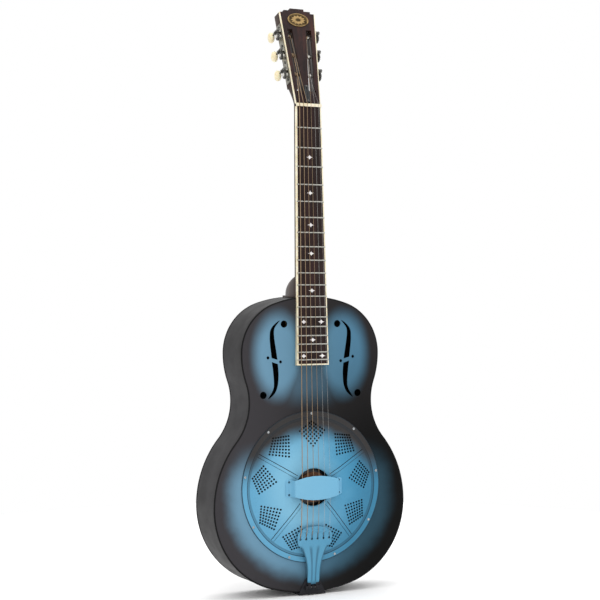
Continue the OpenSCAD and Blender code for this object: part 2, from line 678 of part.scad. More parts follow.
module head_veneer() color(rosewood) on_head() difference() {
  slab(0, veneer_t) intersection() {
    head_shape(0);
    union() {
      head_shape(bind_w);
      translate([-60, shoulder_a]) square([120, 20]);
    }
  }
  head_slots(-1, veneer_t + 1);
  translate([-3, -1, 9]) cube([6, 8, 20]);
  for (a = truss_screw_a) translate([0, 5, a]) rotate([90, 0, 0]) cylinder(r = 0.8, h = 10);
}
module head_binding() color(cream) on_head() slab(0, bind_d) difference() {
  intersection() {
    head_shape(0);
    translate([-60, 0]) square([120, shoulder_a]);
  }
  head_shape(bind_w);
}
// Oval badge with a raised rim and a plain eight-pointed ornament
badge_half = [19.3, 12];
badge_a = 152.5;
function oval(k, n) = [for (i = [0 : n - 1])
  [badge_half[0] * k * cos(360 * i / n), badge_half[1] * k * sin(360 * i / n)]];
function rosette(r0, r1, n) = [for (i = [0 : 2 * n - 1])
  (i % 2 == 0 ? r1 : r0) * [cos(180 * i / n), sin(180 * i / n)]];
module head_badge() color([0.75, 0.63, 0.35]) on_head() translate([0, 0, badge_a]) {
  slab(-0.8, -0.02) polygon(oval(1, 48));
  slab(-1.5, -0.8) difference() {
    polygon(oval(1, 48));
    polygon(oval(0.9, 48));
  }
  slab(-1.3, -0.8) polygon(rosette(3, 8, 8));
}

// --- tuners -------------------------------------------------------------------------------------

plate_t = 1.2;
gear_x = 6.2;
gear_w = 2.6;
teeth = 14;
tooth_module = 0.9;
pitch_r = teeth * tooth_module / 2;
worm_pitch_r = 2.7;
worm_off = pitch_r + worm_pitch_r;
worm_core_r = 1.75;
worm_tip_r = 3.3;
worm_len = 8.6;
lead = PI * tooth_module;
shaft_r = 1.5;
button_d = 35;
plate_y = [3.8, 18.2];
plate_z = [tuner_a(0) - 15, tuner_a(2) + 21];
ear_t = 1.5;
plate_screw_a = [tuner_a(0) - 8.5, tuner_a(0) + 22.5, tuner_a(1) + 17.5, tuner_a(2) + 16];

module tuner_plate() difference() {
  union() {
    translate([0.02, plate_y[0], plate_z[0]])
      cube([plate_t, plate_y[1] - plate_y[0], plate_z[1] - plate_z[0]]);
    for (k = [0 : 2], y = [plate_y[0], plate_y[1] - ear_t])
      translate([plate_t, y, tuner_a(k) + worm_off - 3]) cube([gear_x + 2.4 - plate_t, ear_t, 6]);
  }
  for (k = [0 : 2]) {
    translate([-1, roller_d, tuner_a(k)]) rotate([0, 90, 0]) cylinder(r = roller_r + 0.06, h = 4);
    translate([gear_x, -2, tuner_a(k) + worm_off]) rotate([-90, 0, 0])
      cylinder(r = shaft_r + 0.06, h = 30);
  }
  for (a = plate_screw_a)
    translate([-1, roller_d + 0.6, a]) rotate([0, 90, 0]) cylinder(r = 1.1 + hole_gap, h = 4);
}
module tuner_plate_bass() color([0.62, 0.62, 0.58]) on_side(false) tuner_plate();
module tuner_plate_treble() color([0.62, 0.62, 0.58]) on_side(true) tuner_plate();
// Small wood screws: shank and round head, with the head's seat at height 0
module wood_screw(r, depth, head_r, head_h) {
  translate([0, 0, -depth]) cylinder(r = r, h = depth + head_h / 2);
  translate([0, 0, 0.02]) cylinder(r = head_r, h = head_h);
}
module head_screws() color(bright) {
  for (treble = [false, true], a = plate_screw_a)
    on_side(treble) translate([plate_t, roller_d + 0.6, a]) rotate([0, 90, 0])
      wood_screw(1.1, 6, 2.1, 0.9);
  for (a = truss_screw_a)
    on_head() translate([0, -cover_plate_t, a]) rotate([90, 0, 0]) wood_screw(0.8, 3, 1.7, 0.7);
}

// Tuners are numbered with their strings; the first three are on the bass side
function is_treble(i) = i > 2;
function row(i) = i < 3 ? i : 5 - i;
module at_tuner(i) {
  on_side(is_treble(i)) translate([0, roller_d, tuner_a(row(i))]) children();
}
// Core with a single thread that has room on both flanks of the gear's teeth
module worm_thread() {
  turns = worm_len / lead;
  thread = [[-84, 0], [-52, 0.7], [-28, 1], [0, 1], [28, 1], [52, 0.7], [84, 0]];
  core = [for (a = [114 : 33 : 246]) [a, 0]];
  rotate([0, 0, 180 * turns - 90])
    linear_extrude(worm_len, twist = 360 * turns, slices = ceil(turns * 10), $fn = 8)
      polygon([for (p = concat(thread, core))
        (worm_core_r + p[1] * (worm_tip_r - worm_core_r)) * [cos(p[0]), sin(p[0])]]);
}
module worm(i) color(dull) at_tuner(i) translate([gear_x, 0, worm_off]) rotate([-90, 0, 0]) {
  translate([0, 0, -worm_len / 2]) worm_thread();
  translate([0, 0, plate_y[0] - roller_d - 1]) cylinder(r = shaft_r, h = button_d - plate_y[0] + 1);
  translate([0, 0, plate_y[0] - roller_d - 1.8]) cylinder(r = 2.3, h = 1.5);
  translate([0, 0, plate_y[1] - roller_d + 0.3]) cylinder(r = 2.3, h = 2);
}
button_size = [10, 18.5, 18.6];
module button(i) color(cream) at_tuner(i) translate([gear_x, button_d - roller_d, worm_off])
  difference() {
    intersection() {
      rotate([0, 90, 0]) cylinder(r = button_size[2] / 2, h = button_size[0], center = true);
      translate([0, 0.8, 0]) rotate([0, 90, 0])
        cylinder(r = button_size[1] / 2 + 0.8, h = button_size[0], center = true);
    }
    rotate([90, 0, 0]) cylinder(r = shaft_r, h = 20);
  }
// Gear: straight teeth with a gap of its own against the thread
tooth_half = 4.6;
function gear_shape() = [for (k = [0 : teeth - 1]) let (a = 360 * k / teeth)
  each [[pitch_r - 1.15, a - 8.4], [pitch_r + 0.75, a - tooth_half], [pitch_r + 0.75, a + tooth_half],
    [pitch_r - 1.15, a + 8.4]]];
module gear(i) color([0.30, 0.30, 0.31]) at_tuner(i)
  translate([gear_x - gear_w / 2, 0, 0]) rotate([0, 90, 0]) difference() {
    linear_extrude(gear_w) polygon([for (p = gear_shape()) p[0] * [cos(p[1]), sin(p[1])]]);
    translate([0, 0, -1]) cylinder(r = 2.2, h = gear_w + 2);
  }
module roller(i) color(bright) at_tuner(i) rotate([0, 90, 0]) {
  translate([0, 0, -roller_in]) cylinder(r = roller_r, h = roller_in + gear_x - gear_w / 2);
  translate([0, 0, gear_x - gear_w / 2 - 1]) cylinder(r = 2.2, h = gear_w + 1);
  translate([0, 0, gear_x + gear_w / 2]) cylinder(r = 3, h = 1.2);
}

// --- strings ------------------------------------------------------------------------------------

// Place where each string lies on its roller, in the head's own frame
string_x = [11.5, 13, 15, 15, 13, 11.5];
function head_point(x, y, a) = [x,
  head_y + y * cos(head_tilt) + a * sin(head_tilt),
  head_z - y * sin(head_tilt) + a * cos(head_tilt)];
function roller_point(i) = let (side = is_treble(i) ? 1 : -1)
  head_point(side * string_x[i],
    roller_d - roller_r - string_r[i] - 0.25,
    tuner_a(row(i)) * cos(side_tilt) + (nut_w / 2 - string_x[i]) * sin(side_tilt));
function tail_point(i, y, z) = [spread(i, tail_step),
  -tail_pin_h + y * cos(tail_tilt) - (z - tail_pin_z) * sin(tail_tilt),
  tail_pin_z + y * sin(tail_tilt) + (z - tail_pin_z) * cos(tail_tilt)];
// The string bends round the lip, goes through its keyhole and ends in a ball behind the plate
function lip_point(i, turn) = let (r = lip_r + string_r[i] + 0.06)
  tail_point(i, -r * cos(turn), lip_z - r * sin(turn));
function end_point(i) = tail_point(i, 2.75, slot_z - 1);
function route(i) = [roller_point(i), nut_back(i), nut_point(i), saddle_point(i), lip_point(i, 0),
  lip_point(i, 21), end_point(i)];
function nut_back(i) = neck_point(spread(i, nut_step), -nut_lift - string_r[i], half_scale + nut_len);
// Round wire through a list of points, with a radius for each point
wire_sides = 8;
function unit(v) = v / norm(v);
function heading(pts, k) = let (n = len(pts) - 1)
  unit((k < n ? unit(pts[k + 1] - pts[k]) : [0, 0, 0]) + (k > 0 ? unit(pts[k] - pts[k - 1]) : [0, 0, 0]));
function wire_ring(pts, radii, k) = let (t = heading(pts, k), u = unit(cross(t, [1, 0, 0])), v = cross(t, u))
  [for (i = [0 : wire_sides - 1]) let (a = 360 * i / wire_sides)
    pts[k] + radii[k] * (cos(a) * u + sin(a) * v)];
module wire(pts, radii) {
  m = len(pts);
  n = wire_sides;
  polyhedron(
    points = [for (k = [0 : m - 1]) each wire_ring(pts, radii, k)],
    faces = concat([[for (i = [0 : n - 1]) i]], [[for (i = [n - 1 : -1 : 0]) (m - 1) * n + i]],
      [for (k = [0 : m - 2], i = [0 : n - 1]) let (j = (i + 1) % n)
        each [[k * n + i, (k + 1) * n + i, (k + 1) * n + j], [k * n + i, (k + 1) * n + j, k * n + j]]]));
}
ball_r = 1.8;
function ball_points(i) = let (a = end_point(i), d = unit(a - lip_point(i, 21)))
  [a + 0.3 * d, a + 0.8 * d, a + 2.6 * d, a + 3.1 * d];
module string(i) {
  wire(concat(route(i), ball_points(i)),
    concat([for (k = [0 : 6]) string_r[i]], [string_r[i], ball_r, ball_r, string_r[i]]));
}
module wound_strings() color(bronze) for (i = [0 : 3]) string(i);
module plain_strings() color(bright) for (i = [4 : 5]) string(i);

body_top();
body_sides();
body_back();
soundwell();
resonator_cone();
biscuit();
saddle();
biscuit_screw();
coverplate();
coverplate_screws();
hand_rest();
hand_rest_screws();
tailpiece();
tailpiece_pin();
tailpiece_bracket();
bracket_screws();
neck();
neck_stick();
stick_blocks();
neck_bolts();
fretboard();
fretboard_binding();
frets();
inlays();
nut();
head_veneer();
head_binding();
head_badge();
truss_rod();
truss_nut();
truss_cover();
tuner_plate_bass();
tuner_plate_treble();
head_screws();
wound_strings();
plain_strings();
for (i = [0 : 5]) {
  worm(i);
  button(i);
  roller(i);
  gear(i);
}
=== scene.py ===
"""Looks of the steel-bodied resonator guitar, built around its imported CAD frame.

Lengths in this file are millimetres in the frame's own axes (x to the treble side, -y out of the
front, z up the neck) until mesh_piece() turns them into metres.
"""
import json
import math

import bmesh
import bpy
from mathutils import Matrix, Vector
from mathutils.geometry import delaunay_2d_cdt


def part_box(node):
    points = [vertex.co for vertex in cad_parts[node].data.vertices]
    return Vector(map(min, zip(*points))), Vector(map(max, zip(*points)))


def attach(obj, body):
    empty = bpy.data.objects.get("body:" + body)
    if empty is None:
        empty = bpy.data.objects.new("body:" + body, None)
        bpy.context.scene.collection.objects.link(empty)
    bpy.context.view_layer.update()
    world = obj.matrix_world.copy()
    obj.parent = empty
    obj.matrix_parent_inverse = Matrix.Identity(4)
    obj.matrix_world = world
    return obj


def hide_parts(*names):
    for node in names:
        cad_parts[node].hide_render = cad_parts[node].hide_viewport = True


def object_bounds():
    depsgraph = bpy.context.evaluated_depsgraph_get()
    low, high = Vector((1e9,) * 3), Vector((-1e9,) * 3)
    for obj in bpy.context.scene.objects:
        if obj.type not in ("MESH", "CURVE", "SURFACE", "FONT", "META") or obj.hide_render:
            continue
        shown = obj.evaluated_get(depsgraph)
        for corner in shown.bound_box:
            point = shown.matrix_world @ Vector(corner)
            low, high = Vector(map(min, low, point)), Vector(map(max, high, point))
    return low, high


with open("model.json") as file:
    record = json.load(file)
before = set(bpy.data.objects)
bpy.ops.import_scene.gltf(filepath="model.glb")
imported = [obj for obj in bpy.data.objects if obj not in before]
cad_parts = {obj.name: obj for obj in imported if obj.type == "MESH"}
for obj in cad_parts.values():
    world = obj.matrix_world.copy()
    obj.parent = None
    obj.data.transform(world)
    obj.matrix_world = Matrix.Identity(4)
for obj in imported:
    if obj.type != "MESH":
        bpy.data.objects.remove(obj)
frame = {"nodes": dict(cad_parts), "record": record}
cad_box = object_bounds()

MM = 0.001
ROOT = "guitar"
STRINGS = ["e_low", "a", "d", "g", "b", "e_high"]
FIRST_TREBLE, FIRST_PLAIN = 3, 4
OUT = Vector((0, -1, 0))
JOINTS = {j["name"]: j for j in frame["record"]["behaviour"]["joints"]}


def corner(node):
    """Lowest and highest corner of a CAD node, in millimetres."""
    lo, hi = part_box(node)
    return lo / MM, hi / MM


# Driving sizes, from the frame
FRONT_Y = corner("body_top")[0].y
BACK_Y = -FRONT_Y
BODY_LEN = corner("body_top")[1].z
COVER_R = corner("coverplate")[1].x
CONE_Z = (corner("coverplate")[0].z + corner("coverplate")[1].z) / 2
NECK_TILT = math.radians(1.9)
HEAD_TILT = math.radians(15.3)

# Stem of the tailpiece: where it starts to widen, over what length, its half width there, the growth
STEM_Z, STEM_LEN, STEM_HALF, STEM_GROWTH = 30.0, 47.0, 11.5, 12.0


# ------------------------------------------------------------------------------ mesh helpers

def mesh_piece(name, points, faces, mats, face_mats, body=ROOT, nodes=(), slot=None, sharp=35.0):
    """A piece from millimetre points, smooth up to an edge angle, riding on a body."""
    mesh = bpy.data.meshes.new(name)
    mesh.from_pydata([Vector(p) * MM for p in points], [], faces)
    bm = bmesh.new()
    bm.from_mesh(mesh)
    bmesh.ops.remove_doubles(bm, verts=bm.verts, dist=1e-7)
    bmesh.ops.recalc_face_normals(bm, faces=bm.faces)
    bm.to_mesh(mesh)
    bm.free()
    for m in mats:
        mesh.materials.append(m)
    if len(face_mats) == len(mesh.polygons):
        mesh.polygons.foreach_set("material_index", face_mats)
    mesh.shade_smooth()
    mesh.set_sharp_from_angle(angle=math.radians(sharp))
    obj = bpy.data.objects.new(name, mesh)
    bpy.context.scene.collection.objects.link(obj)
    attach(obj, body)
    if nodes:
        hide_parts(*nodes)
    return obj


class Build:
    """Collects points and faces of one piece, with a material index for each face."""

    def __init__(self):
        self.points, self.faces, self.mats = [], [], []

    def face(self, ids, mat=0):
        self.faces.append(list(ids))
        self.mats.append(mat)

    def loft(self, rings, caps=(True, True), mat=0):
        """Faces between closed rings of equal length; mat may be a function of the ring's number."""
        base, n = len(self.points), len(rings[0])
        for ring in rings:
            self.points.extend(Vector(p) for p in ring)
        for k in range(len(rings) - 1):
            for i in range(n):
                a, b = base + k * n + i, base + k * n + (i + 1) % n
                self.face((a, b, b + n, a + n), mat(k) if callable(mat) else mat)
        cap = mat(0) if callable(mat) else mat
        end = base + len(rings) * n
        if caps[0]:
            self.face(range(base, base + n), cap)
        if caps[1]:
            self.face(reversed(range(end - n, end)), cap)

    def tube(self, path, radius, sides=12, mat=0):
        """Round capped tube along a path, with one radius or one for each point."""
        path = [Vector(p) for p in path]
        up = Vector((1, 0, 0))
        rings = []
        for k, p in enumerate(path):
            ahead = path[min(k + 1, len(path) - 1)] - path[max(k - 1, 0)]
            t = ahead.normalized()
            side = t.cross(up) if abs(t.dot(up)) < 0.95 else t.cross(Vector((0, 1, 0)))
            u = side.normalized()
            v = t.cross(u)
            r = radius[k] if isinstance(radius, (list, tuple)) else radius
            rings.append([p + (u * math.cos(a) + v * math.sin(a)) * r
                          for a in (2 * math.pi * i / sides for i in range(sides))])
        self.loft(rings, mat=mat)

    def sheet(self, front, back, tris, edge_mat=0):
        """Thin sheet between two layers of the same flat triangles, closed all round its borders."""
        n = len(front)
        self.points = [*front, *back]
        sides = set()
        for a, b, c in tris:
            self.face((a, b, c))
            self.face((c + n, b + n, a + n))
            sides |= {(a, b), (b, c), (c, a)}
        for a, b in sides:
            if (b, a) not in sides:
                self.face((b, a, a + n, b + n), edge_mat)

    def piece(self, name, mats, **more):
        return mesh_piece(name, self.points, self.faces, mats, self.mats, **more)


def circle(cx, cy, r, n):
    """Points evenly round a circle, counterclockwise from +x."""
    return [(cx + r * math.cos(2 * math.pi * i / n), cy + r * math.sin(2 * math.pi * i / n))
            for i in range(n)]


def inside(p, loop):
    """Whether a point lies in a closed loop of 2D points."""
    x, y = p
    odd = False
    for (x0, y0), (x1, y1) in zip(loop, loop[1:] + loop[:1]):
        if (y0 > y) != (y1 > y) and x < (x1 - x0) * (y - y0) / (y1 - y0) + x0:
            odd = not odd
    return odd


def triangulate(outer, holes, extra=(), lines=()):
    """Points and triangles of a flat region with holes, with loose extra points and loops kept as edges."""
    verts, edges = [], []
    for loop in [outer, *holes, *lines]:
        base = len(verts)
        verts += [Vector(p) for p in loop]
        edges += [(base + i, base + (i + 1) % len(loop)) for i in range(len(loop))]
    verts += [Vector(p) for p in extra]
    cut = delaunay_2d_cdt(verts, edges, [], 1, 1e-5)
    out, tris = cut[0], cut[2]
    boxes = []
    for hole in holes:
        xs, ys = zip(*hole)
        boxes.append((min(xs), max(xs), min(ys), max(ys)))
    kept = []
    for t in tris:
        c = sum((out[i] for i in t), Vector((0, 0))) / 3
        near = [h for b, h in zip(boxes, holes) if b[0] < c.x < b[1] and b[2] < c.y < b[3]]
        if not any(inside(c, h) for h in near):
            kept.append(list(t))
    return [tuple(p) for p in out], kept


def spline(points, steps=5):
    """Smooth open curve through 2D points, with a number of steps between two of them."""
    n, out = len(points), []
    for i in range(n - 1):
        p = [points[min(max(i + k - 1, 0), n - 1)] for k in range(4)]
        for s in range(steps):
            t = s / steps
            w = (-t + 2 * t * t - t ** 3, 2 - 5 * t * t + 3 * t ** 3,
                 t + 4 * t * t - 3 * t ** 3, -t * t + t ** 3)
            out.append(tuple(sum(w[k] * p[k][a] for k in range(4)) / 2 for a in (0, 1)))
    return out + [tuple(points[-1])]


def step(x, a, b):
    """Smooth change from 0 at a to 1 at b."""
    t = min(max((x - a) / (b - a), 0.0), 1.0)
    return t * t * (3 - 2 * t)


# --------------------------------------------------------------------------- material helpers

class Look:
    """A node material with short names for what the materials here use."""

    def __init__(self, name, **fixed):
        self.mat = bpy.data.materials.new(name)
        self.mat.use_nodes = True
        self.tree = self.mat.node_tree
        self.bsdf = self.tree.nodes["Principled BSDF"]
        for key, value in fixed.items():
            self.bsdf.inputs[key.replace("_", " ")].default_value = value
        coords = self.tree.nodes.new("ShaderNodeTexCoord").outputs["Object"]
        self.at = self.times(coords, 1 / MM, 1 / MM, 1 / MM)
        split = self.tree.nodes.new("ShaderNodeSeparateXYZ")
        self.tree.links.new(self.at, split.inputs[0])
        self.x, self.y, self.z = split.outputs

    def put(self, value, socket):
        """Link another node's output to a socket, or set it to a plain value."""
        if isinstance(value, bpy.types.NodeSocket):
            self.tree.links.new(value, socket)
        else:
            socket.default_value = value

    def times(self, place, *factors):
        """A vector with each axis multiplied by its own factor."""
        n = self.tree.nodes.new("ShaderNodeVectorMath")
        n.operation = "MULTIPLY"
        self.put(place, n.inputs[0])
        n.inputs[1].default_value = factors
        return n.outputs[0]

    def stretched(self, *factors):
        """The place in millimetres, scaled along each axis."""
        return self.times(self.at, *factors)

    def math(self, op, a, b=0.0, clamp=False):
        n = self.tree.nodes.new("ShaderNodeMath")
        n.operation, n.use_clamp = op, clamp
        self.put(a, n.inputs[0])
        self.put(b, n.inputs[1])
        return n.outputs[0]

    def smooth(self, value, a, b, lo=0.0, hi=1.0):
        """Smooth change from lo where value is a to hi where it is b."""
        n = self.tree.nodes.new("ShaderNodeMapRange")
        n.interpolation_type = "SMOOTHSTEP"
        for i, v in enumerate((value, a, b, lo, hi)):
            self.put(v, n.inputs[i])
        return n.outputs[0]

    def product(self, a, *more):
        for b in more:
            a = self.math("MULTIPLY", a, b)
        return a

    def most(self, a, *more):
        for b in more:
            a = self.math("MAXIMUM", a, b)
        return a

    def wander(self, scale, span):
        """Slow drift either way about nothing, over a span."""
        return self.product(self.math("SUBTRACT", self.noise(scale, 3.0), 0.5), span)

    def oval(self, cx, cz, rx=1, rz=1, x=None):
        """Distance from a centre, 1 on an ellipse of those radii."""
        u = self.math("DIVIDE", self.math("SUBTRACT", self.x if x is None else x, cx), rx)
        v = self.math("DIVIDE", self.math("SUBTRACT", self.z, cz), rz)
        return self.math("SQRT", self.math("ADD", self.product(u, u), self.product(v, v)))

    def noise(self, scale, detail=3.0, rough=0.55, coords=None, distort=0.0):
        n = self.tree.nodes.new("ShaderNodeTexNoise")
        self.put(self.at if coords is None else coords, n.inputs["Vector"])
        for key, value in (("Scale", scale), ("Detail", detail), ("Roughness", rough),
                           ("Distortion", distort)):
            n.inputs[key].default_value = value
        return n.outputs["Fac"]

    def ramp(self, fac, *stops):
        n = self.tree.nodes.new("ShaderNodeValToRGB")
        self.put(fac, n.inputs[0])
        cr = n.color_ramp
        while len(cr.elements) < len(stops):
            cr.elements.new(0.5)
        for e, (pos, col) in zip(cr.elements, stops):
            e.position, e.color = pos, (*col, 1)
        return n.outputs[0]

    def mix(self, fac, a, b):
        """Colour a where fac is 0 and colour b where it is 1."""
        n = self.tree.nodes.new("ShaderNodeMix")
        n.data_type = "RGBA"
        self.put(fac, n.inputs[0])
        self.put((*a, 1) if isinstance(a, tuple) else a, n.inputs[6])
        self.put((*b, 1) if isinstance(b, tuple) else b, n.inputs[7])
        return n.outputs[2]

    def color(self, socket):
        self.tree.links.new(socket, self.bsdf.inputs["Base Color"])

    def rough(self, socket):
        self.tree.links.new(socket, self.bsdf.inputs["Roughness"])

    def bump(self, height, depth_mm, strength):
        n = self.tree.nodes.new("ShaderNodeBump")
        n.inputs["Strength"].default_value = strength
        n.inputs["Distance"].default_value = depth_mm * MM
        self.tree.links.new(height, n.inputs["Height"])
        self.tree.links.new(n.outputs[0], self.bsdf.inputs["Normal"])


def srgb(code):
    """Linear colour from a hex code."""
    parts = [int(code[i:i + 2], 16) / 255 for i in (0, 2, 4)]
    return tuple(c / 12.92 if c <= 0.04045 else ((c + 0.055) / 1.055) ** 2.4 for c in parts)


# Tones of the paint as the front is seen: lighter on the left and darker on the right, painted shade as if
# lit from the left; deeper towards the low right
BLUE_LIT_LEFT, BLUE_SHADED_RIGHT = srgb("7ab2cd"), srgb("4089ad")
BURST_LIT_LEFT, BURST_SHADED_RIGHT, BURST_DEEP = srgb("658ba2"), srgb("46718a"), srgb("25414f")
DARK_LIT_LEFT, DARK_SHADED_RIGHT, DARK_DEEP = srgb("373538"), srgb("242223"), srgb("030303")


def speckle(look, low, high):
    """Fine orange peel in the paint, and slightly uneven gloss."""
    look.bump(look.noise(0.55, 2.0, 0.5), 0.012, 0.35)
    look.rough(look.smooth(look.noise(0.03, 4.0), 0.3, 0.7, low, high))


def sheet_paint(name, low, high):
    """Charcoal of the sides and back, a little lighter and warmer in places."""
    look = Look(name, Specular_IOR_Level=0.12)
    drift = look.smooth(look.noise(0.006, 3.0), 0.35, 0.65)
    look.color(look.mix(drift, low, high))
    speckle(look, 0.42, 0.52)
    return look.mat


def burst_paint(name):
    """Front paint: charcoal with blue windows round the f-holes and round the coverplate, with painted
    shade from left to right.
    """
    look = Look(name, Specular_IOR_Level=0.1)
    wander = look.wander(0.02, 0.1)
    side = look.math("ABSOLUTE", look.x)
    upper = look.math("ADD", look.oval(60, 395, 50, 80, side), wander)
    holes = look.smooth(upper, 1.1, 0.55)
    ring = look.math("ADD", look.oval(0, 163, 165, 154), wander)
    bout = look.product(look.smooth(ring, 1.0, 0.78), look.smooth(look.z, 260, 180))
    # fainter strip under the strings, from the coverplate to the neck
    strip = look.product(look.smooth(side, 60, 20), look.smooth(look.z, 300, 345, 0.0, 0.45),
                         look.smooth(look.z, 475, 430))
    blue = look.most(holes, bout, strip)
    # painted shade: the tones darken from left to right as if lit from the left, and deepen towards the low
    # right
    low_right = look.product(look.smooth(look.x, -70, 120), look.smooth(look.z, 440, 230))
    tone = look.mix(look.smooth(look.x, -120, 120), BURST_LIT_LEFT, BURST_SHADED_RIGHT)
    tone = look.mix(low_right, tone, BURST_DEEP)
    dark = look.mix(look.smooth(look.x, -140, 60), DARK_LIT_LEFT, DARK_SHADED_RIGHT)
    dark = look.mix(low_right, dark, DARK_DEEP)
    look.color(look.mix(blue, dark, tone))
    speckle(look, 0.42, 0.52)
    return look.mat


def plate_shade(look, across, blue):
    """Blue of the coverplate: deeper outward, with painted shade from left to right there, burst over its
    top, and painted shade in the groove and at the rim.
    """
    ring = look.oval(0, CONE_Z)
    # the outer blues are lighter on the left and darker on the right, painted shade as if lit from the left
    outer = look.mix(across, srgb("5b9abb"), srgb("357696"))
    blue = look.mix(look.smooth(ring, 45, 112), blue, outer)
    away = look.math("ADD", look.oval(0, CONE_Z - 20), look.wander(0.03, 12.0))
    top = look.product(look.smooth(away, 95, 127), look.smooth(look.z, CONE_Z - 5, CONE_Z + 60))
    blue = look.mix(top, blue, srgb("302e2e"))
    # painted shade: darker in the groove, along the crease at its outer wall and in a line at the rim's
    # outer edge
    groove = look.product(look.smooth(ring, 111.2, 112.2, 0.0, 0.4), look.smooth(ring, 117.2, 116.4))
    crease_shade = look.product(look.smooth(ring, 115.2, 116.0, 0.0, 0.85), look.smooth(ring, 117.2, 116.6))
    rim = look.smooth(ring, 124.6, 125.3, 0.0, 0.85)
    return look.mix(look.most(groove, crease_shade, rim), blue, srgb("17222a"))


def stem_shade(look, blue):
    """Blue of the tailpiece with painted shade between the stem's flutes, along its edges and at its foot.
    """
    t = look.math("DIVIDE", look.math("SUBTRACT", look.z, STEM_Z), STEM_LEN, True)
    width = look.math("ADD", look.product(t, t, STEM_GROWTH), STEM_HALF)
    place = look.math("DIVIDE", look.math("ABSOLUTE", look.x), width)
    from_valley = look.math("ABSOLUTE", look.math("SUBTRACT", place, 0.3))
    valley_shade = look.smooth(from_valley, 0.2, 0.0, 0.0, 0.5)
    edge = look.smooth(place, 0.82, 0.98, 0.0, 0.7)
    stem = look.product(look.most(valley_shade, edge), look.smooth(look.z, 82, 72))
    foot = look.smooth(look.z, 22, 12, 0.0, 0.85)
    return look.mix(look.most(stem, foot), blue, srgb("163340"))


def cover_paint(name, left, right, part=None):
    """Light blue of the coverplate, hand rest and tailpiece, painted lighter on the left and darker on the
    right as shade from the left, with the painted shade of its own part.
    """
    look = Look(name, Specular_IOR_Level=0.2)
    drift = look.smooth(look.noise(0.012, 3.0), 0.35, 0.65, -14, 14)
    # painted shade: the blue runs from lighter on the left to darker on the right, as if lit from the left
    across = look.smooth(look.math("ADD", look.x, drift), -60, 90)
    blue = look.mix(across, left, right)
    if part == "plate":
        blue = plate_shade(look, across, blue)
    if part == "stem":
        blue = stem_shade(look, blue)
    look.color(blue)
    speckle(look, 0.36, 0.46)
    return look.mat


def wood(name, dark, mid, light, rough, across=0.35, along=0.012, pores=True):
    """Straight-grained wood with streaks along z and fine pores."""
    look = Look(name, Specular_IOR_Level=0.18)
    grain = look.noise(1.0, 5.0, 0.6, look.stretched(across, across, along), 0.4)
    broad = across * 0.25
    figure = look.noise(1.0, 2.0, 0.5, look.stretched(broad, broad, along * 0.5), 0.6)
    both = look.math("ADD", look.product(grain, 0.6), look.product(figure, 0.4))
    look.color(look.ramp(both, (0.34, dark), (0.5, mid), (0.66, light)))
    look.rough(look.smooth(grain, 0.3, 0.7, rough - 0.06, rough + 0.08))
    if pores:
        pore = look.noise(1.0, 3.0, 0.6, look.stretched(2.4, 2.4, 0.16))
        look.bump(look.smooth(pore, 0.62, 0.52), 0.05, 0.5)
    return look.mat


def metal(name, color, rough, scratch=(0.6, 0.6, 0.05), dirt=None):
    """Plated or bare metal with fine lines and a duller patchy film."""
    look = Look(name, Metallic=1.0)
    lines = look.noise(1.0, 4.0, 0.65, look.stretched(*scratch))
    film = look.smooth(look.noise(0.09, 4.0, 0.6), 0.5, 0.75)
    look.color(look.mix(film, color, dirt or tuple(c * 0.72 for c in color)))
    look.rough(look.smooth(lines, 0.3, 0.7, rough - 0.08, rough + 0.08))
    look.bump(lines, 0.01, 0.3)
    return look.mat


def plastic(name, light, dark, rough, scale=0.05):
    """Cloudy old plastic."""
    look = Look(name, Subsurface_Weight=0.05, Subsurface_Scale=0.002)
    cloud = look.noise(scale, 4.0, 0.6, None, 0.8)
    look.color(look.mix(look.smooth(cloud, 0.3, 0.7), light, dark))
    look.rough(look.smooth(look.noise(0.4, 3.0), 0.3, 0.7, rough - 0.05, rough + 0.08))
    look.bump(look.noise(1.2, 2.0), 0.008, 0.25)
    return look.mat


paint_side = sheet_paint("paint_side", srgb("242324"), srgb("2a292b"))
# near-black bracket paint; on the tailpiece's knuckles it is painted shade at the hinge
bracket_paint_and_hinge_shade = sheet_paint("bracket_paint_and_hinge_shade", srgb("17171a"), srgb("26262a"))
paint_front = burst_paint("paint_front")
# each blue paint is given lighter on the left and darker on the right, as painted shade
paint_cover = cover_paint("paint_cover", BLUE_LIT_LEFT, BLUE_SHADED_RIGHT, "plate")
paint_blue = cover_paint("paint_blue", srgb("72abc8"), srgb("69a6c6"))
paint_tail = cover_paint("paint_tail", srgb("5895b4"), srgb("4889a9"), "stem")
paint_screw = cover_paint("paint_screw", srgb("2f5468"), srgb("284a5c"))
# near-black as painted shade: the shadow line on the body's bead, the walls of the coverplate's holes and
# edge, and the ribs' creases
shade_black = sheet_paint("shade_black", srgb("0c0c0d"), srgb("141415"))
rosewood = wood("rosewood_grain", srgb("140c0a"), srgb("241715"), srgb("372120"), 0.5)
veneer = wood("veneer_grain", srgb("180e0f"), srgb("2b1a19"), srgb("42251f"), 0.42, 0.16, 0.006)
neck_wood = wood("neck_stain", srgb("1f130e"), srgb("2e1d15"), srgb("402a1e"), 0.36, 0.3, 0.01, False)
maple = wood("maple_grain", srgb("3c2617"), srgb("52331f"), srgb("6b4529"), 0.5, 0.5, 0.05)
pale_wood = wood("stick_grain", srgb("7d6344"), srgb("92754f"), srgb("a68a63"), 0.6)
bright = metal("bright_metal", srgb("d6d4cc"), 0.22)
screw_metal = metal("screw_metal", srgb("a9acae"), 0.3, dirt=srgb("6f7375"))
fret_metal = metal("fret_metal", srgb("aaa9a2"), 0.3, scratch=(0.05, 0.6, 0.6))
dark_metal = metal("dark_metal", srgb("5b5a58"), 0.36, dirt=srgb("2d2b29"))
plate_metal = metal("plate_metal", srgb("8f8d84"), 0.34, dirt=srgb("57544b"))
